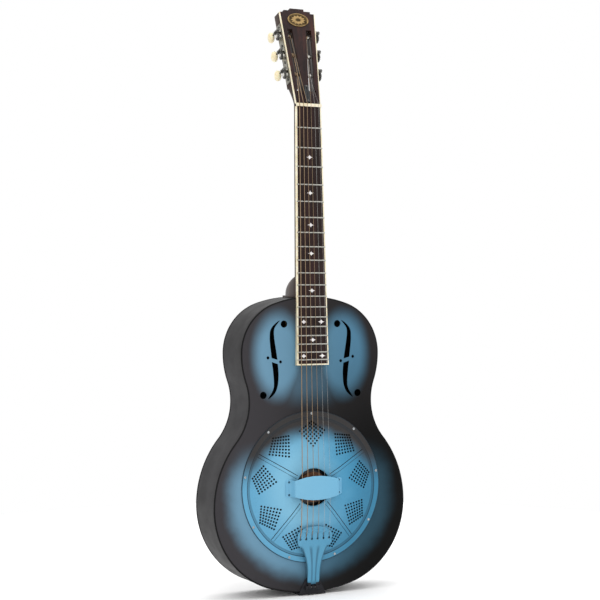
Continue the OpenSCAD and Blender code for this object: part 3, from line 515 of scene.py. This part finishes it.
# painted shade: the aluminium cone is given a dark grey for the shade inside the body
shaded_cone_metal = metal("shaded_cone_metal", srgb("4c4d4f"), 0.48)
zinc = metal("zinc_metal", srgb("4b4c4e"), 0.55, dirt=srgb("37383a"))
brass = metal("badge_brass", srgb("9c8258"), 0.38, dirt=srgb("4f4029"))
brass_dark = metal("badge_ground", srgb("4c3f2b"), 0.55, dirt=srgb("281f14"))
bronze = metal("bronze_wire", srgb("a18a70"), 0.34, scratch=(0.2, 0.2, 3.0))
plain_wire = metal("plain_wire", srgb("b4b2ae"), 0.26)
cream = plastic("cream_edge", srgb("e9e1c9"), srgb("d8cba8"), 0.34)
button_look = plastic("button_cream", srgb("efe6c8"), srgb("dccb9e"), 0.3, 0.12)
black_look = plastic("black_cover", srgb("17191a"), srgb("202325"), 0.42)


def pearl_look():
    """Shell with soft bands of pink, green and white."""
    look = Look("pearl_shell", Coat_Weight=0.6, Coat_Roughness=0.1)
    bands = look.noise(0.28, 3.0, 0.5, None, 1.6)
    look.color(look.ramp(bands, (0.3, srgb("cfd8d2")), (0.45, srgb("f2efe9")), (0.6, srgb("d9cfd6")),
                         (0.75, srgb("c8dcd8"))))
    look.rough(look.smooth(bands, 0.3, 0.7, 0.18, 0.32))
    return look.mat


pearl = pearl_look()


# --------------------------------------------------------------------------- outline of the body

LOWER_HALF, LOWER_Z = corner("body_top")[1].x, 146.0
WAIST_HALF, WAIST_Z = 112.8, 318.0
UPPER_HALF, UPPER_Z = 126.3, 398.0
TAIL_R, FLANK_R, CROWN_R = 270.0, 170.0, 203.0


def inside_r(big, cz, w, z):
    """Radius of the arc that touches the line x = w at height z, inside a circle on the axis."""
    return (big * big - w * w - (z - cz) ** 2) / (2 * (big - w))


def touch_sum(bout, bout_z):
    """Sum of the radii of a bout's arc and the waist's arc that touch each other."""
    return ((bout - WAIST_HALF) ** 2 + (bout_z - WAIST_Z) ** 2) / (2 * (bout - WAIST_HALF))


def outline(inset):
    """Body outline as a chain of tangent arcs, moved in by a distance."""
    low_r = inside_r(TAIL_R, TAIL_R, LOWER_HALF, LOWER_Z)
    waist_r = touch_sum(LOWER_HALF, LOWER_Z) - FLANK_R
    hip_r = touch_sum(UPPER_HALF, UPPER_Z) - waist_r
    crown_z = BODY_LEN - CROWN_R
    shoulder_r = inside_r(CROWN_R, crown_z, UPPER_HALF, UPPER_Z)
    tail_a = math.atan2(LOWER_Z - TAIL_R, LOWER_HALF - low_r)
    flank_a = math.atan2(WAIST_Z - LOWER_Z, WAIST_HALF + waist_r - LOWER_HALF + FLANK_R)
    hip_a = math.atan2(WAIST_Z - UPPER_Z, WAIST_HALF + waist_r - UPPER_HALF + hip_r)
    crown_a = math.atan2(UPPER_Z - crown_z, UPPER_HALF - shoulder_r)
    # centre, radius, first and last angle, number of steps
    half = []
    for cx, cz, r, a0, a1, n in (
            (0, TAIL_R, TAIL_R - inset, -math.pi / 2, tail_a, 24),
            (LOWER_HALF - low_r, LOWER_Z, low_r - inset, tail_a, 0, 56),
            (LOWER_HALF - FLANK_R, LOWER_Z, FLANK_R - inset, 0, flank_a, 32),
            (WAIST_HALF + waist_r, WAIST_Z, waist_r + inset, math.pi + flank_a, math.pi + hip_a, 40),
            (UPPER_HALF - hip_r, UPPER_Z, hip_r - inset, hip_a, 0, 16),
            (UPPER_HALF - shoulder_r, UPPER_Z, shoulder_r - inset, 0, crown_a, 48),
            (0, crown_z, CROWN_R - inset, crown_a, math.pi / 2, 20)):
        half += [(cx + r * math.cos(a0 + (a1 - a0) * i / n), cz + r * math.sin(a0 + (a1 - a0) * i / n))
                 for i in range(n)]
    half.append((0, BODY_LEN - inset))
    return half + [(-x, z) for x, z in half[-2:0:-1]]


# ------------------------------------------------------------------------------------ steel body

# Right f-hole: its two curved cuts and its round holes (x, z, radius)
F_UPPER = [(56.5, 453), (66, 447), (73.3, 438), (75, 426), (74, 411), (71.6, 391),
           (60.8, 388), (63.8, 407), (66.2, 422), (67, 434), (65, 442)]
F_LOWER = [(71.2, 384.6), (69.2, 370), (67.6, 350), (69.4, 338), (78, 323.4),
           (66.6, 331.6), (61, 343), (59.2, 355), (59, 368), (60.2, 381)]
F_ROUNDS = [(49, 447, 6), (86.6, 330, 6), (78, 391.5, 2.6), (55.4, 384.5, 2.6)]
F_UPPER_START, F_LOWER_START = 6, 0
WELL_R = 118.3
SHEET_T, PANEL_INSET, PANEL_SUNK = 1.2, 2.6, 0.2
BEAD_RINGS = 9


def f_cut(points, start):
    """One curved cut of an f-hole: its long edges smooth, its end towards the other cut straight."""
    return spline(points[start:] + points[:start])


def build_body():
    """Rolled sides, front panel with its holes, and back panel."""
    holes = [f_cut(F_UPPER, F_UPPER_START), f_cut(F_LOWER, F_LOWER_START)]
    holes += [circle(x, z, r, 32) for x, z, r in F_ROUNDS]
    holes += [[(-x, z) for x, z in h] for h in holes]
    holes.append(circle(0, CONE_Z, WELL_R, 144))
    flat, tris = triangulate(outline(PANEL_INSET), holes)
    face_y = FRONT_Y + PANEL_SUNK
    panel = Build()
    panel.sheet([(x, face_y, z) for x, z in flat], [(x, face_y + SHEET_T, z) for x, z in flat], tris)
    panel.piece("body_front_panel", [paint_front], nodes=["body_top"], slot="body_paint")

    flat, tris = triangulate(outline(PANEL_INSET), [])
    lid = Build()
    lid.points = [(x, BACK_Y - PANEL_SUNK, z) for x, z in flat]
    for tri in tris:
        lid.face(tri)
    lid.piece("body_back_panel", [paint_side], nodes=["body_back"], slot="body_paint")

    # half a profile across the side, as inset and depth: a rolled bead, then the wall
    bead = [(PANEL_INSET + 1.5, 1.0), (PANEL_INSET, 0.35), (2.0, 0.1), (1.4, 0.0), (0.8, 0.15),
            (0.3, 0.6), (0.05, 1.2), (0.05, 1.8), (0.3, 2.3), (0.75, 2.6), (0.8, 3.2)]
    near = bead + [(0.65, 5.0), (0.6, 12.0), (0.55, 26.0)]
    profile = [(i, FRONT_Y + d) for i, d in near] + [(0.55, 0.0)]
    profile += [(i, BACK_Y - d) for i, d in near[::-1]]
    rings = [[(x, y, z) for x, z in outline(i)] for i, y in profile]
    last = len(rings) - 2
    shell = Build()
    # the bead's rings are painted black as the shadow line along the body's front and back edges
    shell.loft(rings, (False, False), lambda k: 1 if min(k, last - k) <= BEAD_RINGS else 0)
    shell.piece("body_rolled_sides", [paint_side, shade_black], nodes=["body_sides"], slot="body_paint",
                sharp=60)


# ------------------------------------------------------------------------------------ coverplate

KITES = 9
KITE_CORNERS = [Vector((68.5, 0)), Vector((93.5, 22.5)), Vector((108.5, 0)), Vector((93.5, -22.5))]
KITE_ROWS, KITE_HOLE_R = 7, 1.75
RIB_ANGLES = (-140, -60, 60, 140)
LAND_H, GROOVE_H, RIM_H = 50.0, 41.6, -FRONT_Y + 1.15
HOLE_R, PLATE_T = 31.0, 1.0
EDGE_R = COVER_R - 0.02
# Profile of the plate from its middle hole to its edge: radius, height before the body's mid plane
PLATE = [(HOLE_R, 48.0), (31.15, 49.2), (31.9, 49.85), (33.2, LAND_H), (53.6, LAND_H), (57.5, 49.75),
         (62, 49.15), (109, 42.1), (111.6, 41.75), (113.4, GROOVE_H), (114.6, 41.66), (115.7, 42.1),
         (116.8, RIM_H), (125.0, RIM_H), (125.9, 42.15), (EDGE_R, 41.5)]


def on_cone(x, z, h):
    """Point by its place about the cone's middle and its height before the body's mid plane."""
    return Vector((x, -h, CONE_Z + z))


def plate_height(r):
    """Height of the plate's face at a distance from the cone's middle."""
    for (r0, h0), (r1, h1) in zip(PLATE, PLATE[1:]):
        if r <= r1:
            return h0 + (h1 - h0) * (r - r0) / (r1 - r0)
    return PLATE[-1][1]


def kite_holes():
    """Centres of all the kites' holes about the middle of the plate."""
    places = []
    for i in range(KITE_ROWS):
        for j in range(KITE_ROWS):
            u, v = i / (KITE_ROWS - 1), j / (KITE_ROWS - 1)
            places.append(KITE_CORNERS[0] * (1 - u) * (1 - v) + KITE_CORNERS[1] * u * (1 - v)
                          + KITE_CORNERS[2] * u * v + KITE_CORNERS[3] * (1 - u) * v)
    turned = []
    for k in range(KITES):
        turn = Matrix.Rotation(math.radians(90 + k * 360 / KITES), 2)
        turned += [turn @ p for p in places]
    return turned


def build_coverplate():
    """Spun plate with rim, groove and shallow dome, pierced by nine kites of holes."""
    centres = kite_holes()
    holes = [circle(0, 0, HOLE_R, 144)] + [circle(c.x, c.y, KITE_HOLE_R, 12) for c in centres]
    rings = [circle(0, 0, r, 144) for r, h in PLATE[1:-1]]
    extra = []
    for r in range(66, 109, 4):
        for i in range(120):
            a = 2 * math.pi * (i + 0.5 * (r // 4 % 2)) / 120
            p = Vector((r * math.cos(a), r * math.sin(a)))
            if all((p - c).length > KITE_HOLE_R + 0.7 for c in centres):
                extra.append(p)
    flat, tris = triangulate(circle(0, 0, EDGE_R, 144), holes, extra, rings)
    front, back = ([on_cone(x, z, plate_height(math.hypot(x, z)) - drop) for x, z in flat]
                   for drop in (0, PLATE_T))
    plate = Build()
    # the walls of the holes and the plate's outer edge are painted black as shade
    plate.sheet(front, back, tris, 1)
    plate.piece("coverplate_shell", [paint_cover, shade_black], nodes=["coverplate"], slot="cover_paint",
                sharp=50)


def build_ribs():
    """Four pressed ribs, each a low band between two creases painted black as shade, the upper one wider.
    """
    ribs = Build()
    # third column: 1 where the face is a crease, painted black as shade
    section = [(-2.9, 0.02, 1), (-2.35, 0.1, 1), (-2.1, 0.42, 0), (0, 0.6, 0), (2.0, 0.42, 0),
               (2.3, 0.1, 1), (3.4, 0.02, 1)]
    steps = [35.5, 36.5, 40, 45, 50, 53.6, 57.5, 62] + list(range(66, 108, 6)) + [109, 111.5]
    lift, end_fade, m = 0.03, 0.15, len(section)
    for a in RIB_ANGLES:
        turn = math.radians(90 - a)
        out, side = Vector((math.cos(turn), math.sin(turn))), Vector((-math.sin(turn), math.cos(turn)))
        side *= 1 if side.y > 0 else -1
        base = len(ribs.points)
        for k, r in enumerate(steps):
            fade = end_fade if k in (0, len(steps) - 1) else 1.0
            for u, h, crease_shade in section:
                p = out * r + side * u
                ribs.points.append(on_cone(p.x, p.y, plate_height(p.length) + lift + h * fade))
        for k in range(len(steps) - 1):
            for i in range(m - 1):
                crease_shade = section[i][2] and section[i + 1][2]
                q = base + k * m + i
                ribs.face((q, q + 1, q + m + 1, q + m), 1 if crease_shade else 0)
    ribs.piece("coverplate_ribs", [paint_cover, shade_black], slot="cover_paint", sharp=60)


# --------------------------------------------------------------------------------------- screws

def screw_heads(name, places, radius, height, mat, node):
    """Domed slotted heads out of the front: each place is a centre on its seat and the slot's turn."""
    heads = Build()
    tool = 0.16
    slit, depth = radius * tool, height * 0.55
    wall = 0.02
    us = [-1, -0.93, -0.75, -0.5, -0.28, -tool - wall, -tool + wall, 0, tool - wall, tool + wall,
          0.28, 0.5, 0.75, 0.93, 1]
    vs = [-1, -0.96, -0.8, -0.5, 0, 0.5, 0.8, 0.96, 1]
    for centre, turn in places:
        first = Matrix.Rotation(turn, 3, OUT) @ OUT.cross(Vector((0.3, 0.1, 1))).normalized()
        second = OUT.cross(first)
        base = len(heads.points)
        for u in us:
            for v in vs:
                x = u * radius
                w = v * math.sqrt(max(radius * radius - x * x, 0)) if abs(u) < 1 else 0.0
                rise = max(1 - (x * x + w * w) / radius ** 2, 0.0)
                h = height * (0.35 + 0.65 * math.sqrt(rise)) if rise > 0.01 else 0.0
                if abs(x) < slit:
                    h = min(h, height - depth)
                heads.points.append(centre + first * x + second * w + OUT * h)
        for i in range(len(us) - 1):
            for j in range(len(vs) - 1):
                q = base + i * len(vs) + j
                heads.face((q, q + 1, q + len(vs) + 1, q + len(vs)))
    heads.piece(name, [mat], nodes=[node], slot="bright_metal", sharp=40)


REST_T, REST_TOP, REST_HALF, FOOT_X, FOOT_Z = 1.3, 64.6, 39.5, 45.5, 10.6
RIM_SCREW_R = 122.1


def build_screws():
    """Nine screws round the coverplate's rim and four through the hand rest's feet."""
    cover = []
    for i in range(KITES):
        a = math.radians(90 + i * 360 / KITES)
        seat = on_cone(RIM_SCREW_R * math.cos(a), RIM_SCREW_R * math.sin(a), RIM_H)
        cover.append((seat, i * 1.3))
    screw_heads("coverplate_screw_heads", cover, 2.1, 1.2, screw_metal, "coverplate_screws")
    rest = [(on_cone(x, z, LAND_H + REST_T), x * z)
            for x in (-FOOT_X, FOOT_X) for z in (-FOOT_Z, FOOT_Z)]
    screw_heads("hand_rest_screw_heads", rest, 2.0, 0.85, paint_screw, "hand_rest_screws")


# ------------------------------------------------------------------------------------- hand rest

def build_hand_rest():
    """Arched plate: flat feet, steep ends and a flat top whose long edges are bowed."""
    mid, end, foot, foot_in = 20.0, 13.5, 13.9, 42
    tip_x, tip_round = 50, 1.2
    bow = (REST_HALF ** 2 + (mid - end) ** 2) / (2 * (mid - end))
    seat = LAND_H + REST_T
    side = [(51, seat + 0.08), (48.5, seat + 0.08), (44.4, seat + 0.1), (43.3, seat + 0.35),
            (42.7, seat + 1.1), (41.6, 56.5), (40.5, 61.6), (39.9, 63.5), (39.0, 64.3), (37.5, 64.55),
            (34, REST_TOP), (20, REST_TOP), (7, REST_TOP)]
    path = [(-x, h) for x, h in side] + [(x, h) for x, h in side[::-1]]
    cross = [-1, -0.985, -0.93, -0.6, 0, 0.6, 0.93, 0.985, 1]
    dip = [0.5, 0.16, 0.0, 0.0, 0.0, 0.0, 0.0, 0.16, 0.5]
    rings = []
    for k, (x, h) in enumerate(path):
        ahead, back = path[min(k + 1, len(path) - 1)], path[max(k - 1, 0)]
        t = Vector((ahead[0] - back[0], ahead[1] - back[1])).normalized()
        nx, nh = -t.y, t.x
        ax = abs(x)
        half = foot if ax > foot_in else mid - (bow - math.sqrt(bow * bow - min(ax, REST_HALF) ** 2))
        if ax > tip_x:
            half -= tip_round
        outer = [on_cone(x - nx * d, half * c, h - nh * d) for c, d in zip(cross, dip)]
        inner = [on_cone(x - nx * REST_T, half * c, h - nh * REST_T) for c in cross]
        rings.append(outer + inner[::-1])
    rest = Build()
    rest.loft(rings)
    rest.piece("hand_rest_plate", [paint_blue], nodes=["hand_rest"], slot="cover_paint", sharp=50)


# ------------------------------------------------------------------------------------- tailpiece

# The tailpiece leans on its pin: height before the mid plane at the pin and at the keyholes
TAIL_PIN_Z, TAIL_PIN_H, SLOT_Z, TAIL_H = 9.0, 46.05, 91.0, 53.2
TAIL_TILT = math.atan((TAIL_H - TAIL_PIN_H) / (SLOT_Z - TAIL_PIN_Z))
LIP_Z, LIP_R, TAIL_TOP = 104.0, 1.8, 112.0
TAIL_UNDER, TAIL_RIM, KNUCKLE_X, KEYHOLE_R = 0.8, 0.25, 7, 2.0
TAIL_EDGE = [(5.6, 14.2), (9.4, 16.5), (11.2, 22), (12, 34), (13, 46), (15.5, 58), (20, 70), (23.4, 77),
             (28.6, 80), (30.8, 86), (30.8, 99), (27, 104), (18, 109), (8, 111.4)]
STRING_STEP = 10.5


def on_tail(x, y, z):
    """Place of a point given in the tailpiece's own leaning frame."""
    c, s, up = math.cos(TAIL_TILT), math.sin(TAIL_TILT), z - TAIL_PIN_Z
    return Vector((x, -TAIL_PIN_H + y * c - up * s, TAIL_PIN_Z + y * s + up * c))


def tail_face(x, z):
    """Height of the pressed face over the middle of the sheet: flutes on the stem, a low dish above."""
    t = min(max((z - STEM_Z) / STEM_LEN, 0.0), 1.0)
    place = abs(x) / (STEM_HALF + STEM_GROWTH * t ** 2)
    flutes = max(1 - (place / 0.25) ** 2, 1 - ((place - 0.6) / 0.27) ** 2, 0.0)
    flutes *= step(z, 15, 22) * step(z, 84, 68)
    dish = step(z, 78, 84) * step(z, 102, 99) * step(abs(x), 30, 27)
    return 0.5 + 0.85 * flutes + 0.3 * step(z, 80, 84) - 0.35 * dish


def keyhole(cx):
    """Round hole for a string's ball, with a slot up from it for the string."""
    arc = [(cx + KEYHOLE_R * math.cos(a), SLOT_Z + KEYHOLE_R * math.sin(a))
           for a in (math.radians(120 + 300 * k / 14) for k in range(15))]
    return arc + [(cx + 1.0, SLOT_Z + 9.5), (cx, SLOT_Z + 10.5), (cx - 1.0, SLOT_Z + 9.5)]


def build_tailpiece():
    """Fluted plate with six keyholes, the rolled lip and the two knuckles on the pin."""
    right = spline(TAIL_EDGE)
    loop = right + [(0, TAIL_TOP - 0.2)] + [(-x, z) for x, z in right[::-1]]
    keys = [keyhole((i - 2.5) * STRING_STEP) for i in range(len(STRINGS))]
    extra = [(0.8 * i + 0.4 * (j % 2), 15 + 1.6 * j) for i in range(-38, 39) for j in range(60)]
    extra = [p for p in extra if inside(p, loop) and not any(inside(p, k) for k in keys)
             and min(math.hypot(p[0] - q[0], p[1] - q[1]) for q in loop) > 0.9]
    flat, tris = triangulate(loop, keys, extra)
    edge = {(round(x, 3), round(z, 3)) for x, z in loop}
    front = []
    for x, z in flat:
        at_edge = (round(x, 3), round(z, 3)) in edge
        front.append(on_tail(x, -(TAIL_RIM if at_edge else tail_face(x, z)), z))
    plate = Build()
    plate.sheet(front, [on_tail(x, TAIL_UNDER, z) for x, z in flat], tris)

    # rolled lip that the strings bend over, with rounded ends
    ends = [(25, 0.05), (24.7, 0.5), (24, 0.85), (23, 1.0)]
    path = [(-x, f) for x, f in ends] + [(0, 1.0)] + [(x, f) for x, f in ends[::-1]]
    plate.tube([on_tail(x, 0, LIP_Z) for x, f in path], [LIP_R * f for x, f in path], 16)

    # knuckles that wrap the pin, each with a tab up to the plate, painted near-black as shade at the hinge
    tab = [(-2.4, -0.8), (2.4, -0.8), (2.4, 0.8), (-2.4, 0.8)]
    for side in (-KNUCKLE_X, KNUCKLE_X):
        plate.tube([on_tail(side + d, 0, TAIL_PIN_Z) for d in (-2.5, -2.3, 2.3, 2.5)],
                   [2.6, 2.95, 2.95, 2.6], 20, 1)
        plate.loft([[on_tail(side + dx, dy, z) for dx, dy in tab] for z in (TAIL_PIN_Z + 2, 17.0)], mat=1)
    plate.piece("tailpiece_plate", [paint_tail, bracket_paint_and_hinge_shade], nodes=["tailpiece"], slot="cover_paint",
                sharp=48)


# ------------------------------------------------------------------------------- neck and head

# The fretboard's face meets the body's edge here; the head leans back from the end of the nut
NECK_POINT = Vector((0, FRONT_Y - 5.0, BODY_LEN))
HALF_SCALE, NUT_LEN, FACE_DROP = 317.5, 5.0, 1.5


def leaning(point, tilt, x, y, along):
    """Place by coordinates in a frame at a point that leans back by a tilt."""
    c, s = math.cos(tilt), math.sin(tilt)
    return point + Vector((x, y * c + along * s, -y * s + along * c))


HEAD_POINT = leaning(NECK_POINT, NECK_TILT, 0, FACE_DROP, HALF_SCALE + NUT_LEN)


def on_head(x, y, a):
    """Place on the head: x across, y back from its face, a along it from the nut."""
    return leaning(HEAD_POINT, HEAD_TILT, x, y, a)


def polish(node, look, bevel, angle=35.0):
    """Carry a CAD node over: welded, smoothed, edges eased by a bevel, and with its own look."""
    obj = frame["nodes"][node]
    mesh = obj.data
    if "custom_normal" in mesh.attributes:
        mesh.attributes.remove(mesh.attributes["custom_normal"])
    mesh.materials.clear()
    mesh.materials.append(look)
    weld = obj.modifiers.new("weld", "WELD")
    weld.merge_threshold = 1e-5
    if bevel:
        ease = obj.modifiers.new("ease", "BEVEL")
        ease.width = bevel * MM
        ease.segments = 2
        ease.limit_method = "ANGLE"
        ease.angle_limit = math.radians(angle)
        ease.use_clamp_overlap = True
    mesh.shade_smooth()
    split = obj.modifiers.new("edges", "EDGE_SPLIT")
    split.split_angle = math.radians(angle)


BADGE_RX, BADGE_RZ, BADGE_AT = 19.3, 12.0, 152.5
GROUND_Y, PETALS, BEADS = -0.82, 12, 36
PETAL_ROOT, PETAL_MID, PETAL_TIP, PETAL_HALF, PETAL_TOP = 0.2, 0.45, 0.72, 0.17, 0.47
BEAD_ROW, BEAD_R = 0.82, 0.55


def build_badge():
    """Oval badge: raised rim, dark ground, plain rosette of petals and a ring of beads."""
    badge = Build()

    def at(u, v, y):
        """Place on the badge by its share of the two radii."""
        return on_head(BADGE_RX * u, y, BADGE_AT + BADGE_RZ * v)

    def cone(base_ring, top):
        """Faces from each side of a ring of points up to a top."""
        base, n = len(badge.points), len(base_ring)
        badge.points += base_ring + [top]
        for i in range(n):
            badge.face((base + i, base + (i + 1) % n, base + n))

    profile = [(1.0, -0.05), (1.0, -1.1), (0.985, -1.4), (0.955, -1.48), (0.92, -1.4), (0.9, -1.05),
               (0.89, -0.8)]
    badge.loft([[at(x, z, y) for x, z in circle(0, 0, k, 96)] for k, y in profile], caps=(False, True))
    for p in range(PETALS):
        c, s = math.cos(2 * math.pi * p / PETALS), math.sin(2 * math.pi * p / PETALS)
        petal = ((PETAL_ROOT, 0.0), (PETAL_MID, PETAL_HALF), (PETAL_TIP, 0.0), (PETAL_MID, -PETAL_HALF))
        cone([at(u * c - w * s, u * s + w * c, GROUND_Y) for u, w in petal],
             at(PETAL_TOP * c, PETAL_TOP * s, -1.32))
    for u, v in circle(0, 0, BEAD_ROW, BEADS):
        ring = circle(BADGE_RX * u, BADGE_AT + BADGE_RZ * v, BEAD_R, 6)
        cone([on_head(x, GROUND_Y, a) for x, a in ring], at(u, v, -1.15))
    obj = badge.piece("head_badge_relief", [brass, brass_dark], nodes=["head_badge"], slot="badge_metal",
                      sharp=40)
    ground = max(obj.data.polygons, key=lambda poly: len(poly.vertices))
    ground.material_index = 1


# --------------------------------------------------------------------------------------- tuners

def joint_frame(name):
    """A point on a joint's axis, and the axis."""
    j = JOINTS[name]
    return Vector(j["pos_m"]) / MM, Vector(j["axis"]).normalized()


def build_button(s):
    """Oval button with full round faces and a small collar."""
    pos, axis = joint_frame("knob_turn_" + s)
    lo, hi = corner("button_" + s)
    centre = (lo + hi) / 2
    centre = pos + axis * (centre - pos).dot(axis)
    flat = joint_frame("winder_turn_" + s)[1]
    wide = axis.cross(flat)
    thick, tall, long, fullness = 4.9, 8.9, 9.2, 0.72
    stacks, around = 20, 32
    rings = []
    for k in range(1, stacks):
        a = math.pi * k / stacks
        ring = []
        for v, w in circle(0, 0, math.sin(a), around):
            f = math.copysign(abs(v) ** fullness, v)
            ring.append(centre + axis * math.cos(a) * tall + wide * w * long + flat * f * thick)
        rings.append(ring)
    button = Build()
    button.loft(rings)
    foot = centre - axis * (tall - 0.6)
    button.tube([foot - axis * 1.4, foot - axis * 1.2, foot, foot + axis * 1.5], [1.9, 2.3, 2.5, 2.2], 20)
    button.piece("tuner_button_" + s, [button_look], body="knob_" + s, nodes=["button_" + s],
                 slot="button_plastic", sharp=60)


# Each string's radius and where it meets its roller, across the head
STRING_R = [0.71, 0.57, 0.45, 0.33, 0.21, 0.17]
STRING_X = [11.5, 13.0, 15.0, 15.0, 13.0, 11.5]
ROLLER_R = 3.2


def build_windings(i):
    """Turns of string round its roller, which go round with it."""
    s = STRINGS[i]
    pos, axis = joint_frame("winder_turn_" + s)
    r = STRING_R[i]
    treble, wound = i >= FIRST_TREBLE, i < FIRST_PLAIN
    along = (STRING_X[i] - abs(pos.x)) * (1 if treble else -1)
    start = pos + axis * (along / axis.x)
    u = (OUT - axis * OUT.dot(axis)).normalized()
    v = axis.cross(u)
    turns, per_turn = (4 if treble else 3), 20
    reach, pitch = ROLLER_R + r + 0.02, 2.05 * r
    wrap = []
    for k in range(turns * per_turn + 1):
        a = 2 * math.pi * k / per_turn
        wrap.append(start + axis * (pitch * k / per_turn) + (u * math.cos(a) + v * math.sin(a)) * reach)
    coil = Build()
    coil.tube(wrap, r, 8)
    coil.piece("string_turns_" + s, [bronze if wound else plain_wire], body="winder_" + s,
               slot="bronze_string" if wound else "steel_string", sharp=70)


# ----------------------------------------------------------------------------------------- stage

def area(name, place, aim, size, power):
    """Rectangular soft light at a place in metres, turned to its aim."""
    light = bpy.data.lights.new(name, "AREA")
    light.shape, light.size, light.size_y = "RECTANGLE", *size
    light.energy = power
    obj = bpy.data.objects.new(name, light)
    obj.location = place
    obj.rotation_euler = (Vector(aim) - Vector(place)).to_track_quat("-Z", "Y").to_euler()
    bpy.context.scene.collection.objects.link(obj)


def build_stage():
    """Pale round floor just under the guitar, white surroundings and two soft lights, in metres."""
    scene = bpy.context.scene
    scene.view_settings.view_transform = "Standard"
    look = Look("floor_look", Roughness=0.9)
    cloud = look.smooth(look.noise(0.004, 3.0), 0.3, 0.7)
    look.color(look.mix(cloud, (0.93, 0.93, 0.93), (0.95, 0.95, 0.95)))
    low, floor_r, sides = cad_box[0].z - 0.0005, 1.15, 96
    mesh = bpy.data.meshes.new("floor")
    mesh.from_pydata([(x, y, low) for x, y in circle(0, 0, floor_r, sides)], [], [range(sides)])
    mesh.materials.append(look.mat)
    floor = bpy.data.objects.new("floor", mesh)
    scene.collection.objects.link(floor)
    world = bpy.data.worlds.new("studio")
    scene.world = world
    world.use_nodes = True
    back = world.node_tree.nodes["Background"]
    back.inputs[0].default_value = (1, 1, 1, 1)
    back.inputs[1].default_value = 1.0
    area("top_soft", (0, 0, 2.6), (0, 0, 0), (3.6, 3.6), 55)
    area("key_left", (-1.7, -2.0, 1.3), (0, 0, 0.45), (1.0, 1.6), 3)


# Camera: turned round the guitar to its bass side, in degrees; distances in metres
AZIMUTH, ELEVATION, ROLL = (math.radians(a) for a in (-24.66, -0.28, -0.22))
DISTANCE, LENS, AIM_Z, AIM_RIGHT = 2.5, 88.56, 0.487, -0.0008


def build_camera():
    """Camera aimed at the middle of the guitar from the angles and distance above."""
    flat = math.cos(ELEVATION)
    back = Vector((math.sin(AZIMUTH) * flat, -math.cos(AZIMUTH) * flat, math.sin(ELEVATION)))
    right = Vector((math.cos(AZIMUTH), math.sin(AZIMUTH), 0))
    up = back.cross(right)
    x = right * math.cos(ROLL) + up * math.sin(ROLL)
    y = up * math.cos(ROLL) - right * math.sin(ROLL)
    data = bpy.data.cameras.new("camera")
    data.lens, data.sensor_width = LENS, 36.0
    cam = bpy.data.objects.new("camera", data)
    place = Vector((0, 0, AIM_Z)) + right * AIM_RIGHT + back * DISTANCE
    turn = Matrix((x, y, back)).transposed()
    cam.matrix_world = Matrix.Translation(place) @ turn.to_4x4()
    bpy.context.scene.collection.objects.link(cam)
    bpy.context.scene.camera = cam


# ----------------------------------------------------------------------------------------- build

build_stage()
build_camera()
build_body()
build_coverplate()
build_ribs()
build_screws()
build_hand_rest()
build_tailpiece()
build_badge()
for number, string in enumerate(STRINGS):
    build_button(string)
    build_windings(number)

# CAD nodes that are shown as they are: name, look and how far their edges are eased
for node, look, bevel in (
        ("soundwell", zinc, 0), ("resonator_cone", shaded_cone_metal, 0), ("biscuit", maple, 0.5),
        ("saddle", maple, 0.3), ("biscuit_screw", bright, 0.3), ("tailpiece_pin", dark_metal, 0.3),
        ("tailpiece_bracket", bracket_paint_and_hinge_shade, 0.3), ("bracket_screws", dark_metal, 0.4),
        ("neck", neck_wood, 0.5), ("neck_stick", pale_wood, 0.8), ("stick_blocks", pale_wood, 0.8),
        ("neck_bolts", dark_metal, 0.4), ("fretboard", rosewood, 0.1), ("frets", fret_metal, 0),
        ("fretboard_binding", cream, 0.35), ("inlays", pearl, 0), ("nut", cream, 0.35),
        ("head_veneer", veneer, 0), ("head_binding", cream, 0.3), ("truss_rod", dark_metal, 0.2),
        ("truss_nut", bright, 0.2), ("truss_cover", black_look, 0.4),
        ("tuner_plate_bass", plate_metal, 0.25), ("tuner_plate_treble", plate_metal, 0.25),
        ("head_screws", dark_metal, 0.25), ("wound_strings", bronze, 0), ("plain_strings", plain_wire, 0)):
    polish(node, look, bevel, 60.0 if "strings" in node else 35.0)
for string in STRINGS:
    polish("worm_" + string, dark_metal, 0)
    polish("gear_" + string, dark_metal, 0.15)
    polish("roller_" + string, bright, 0.2)
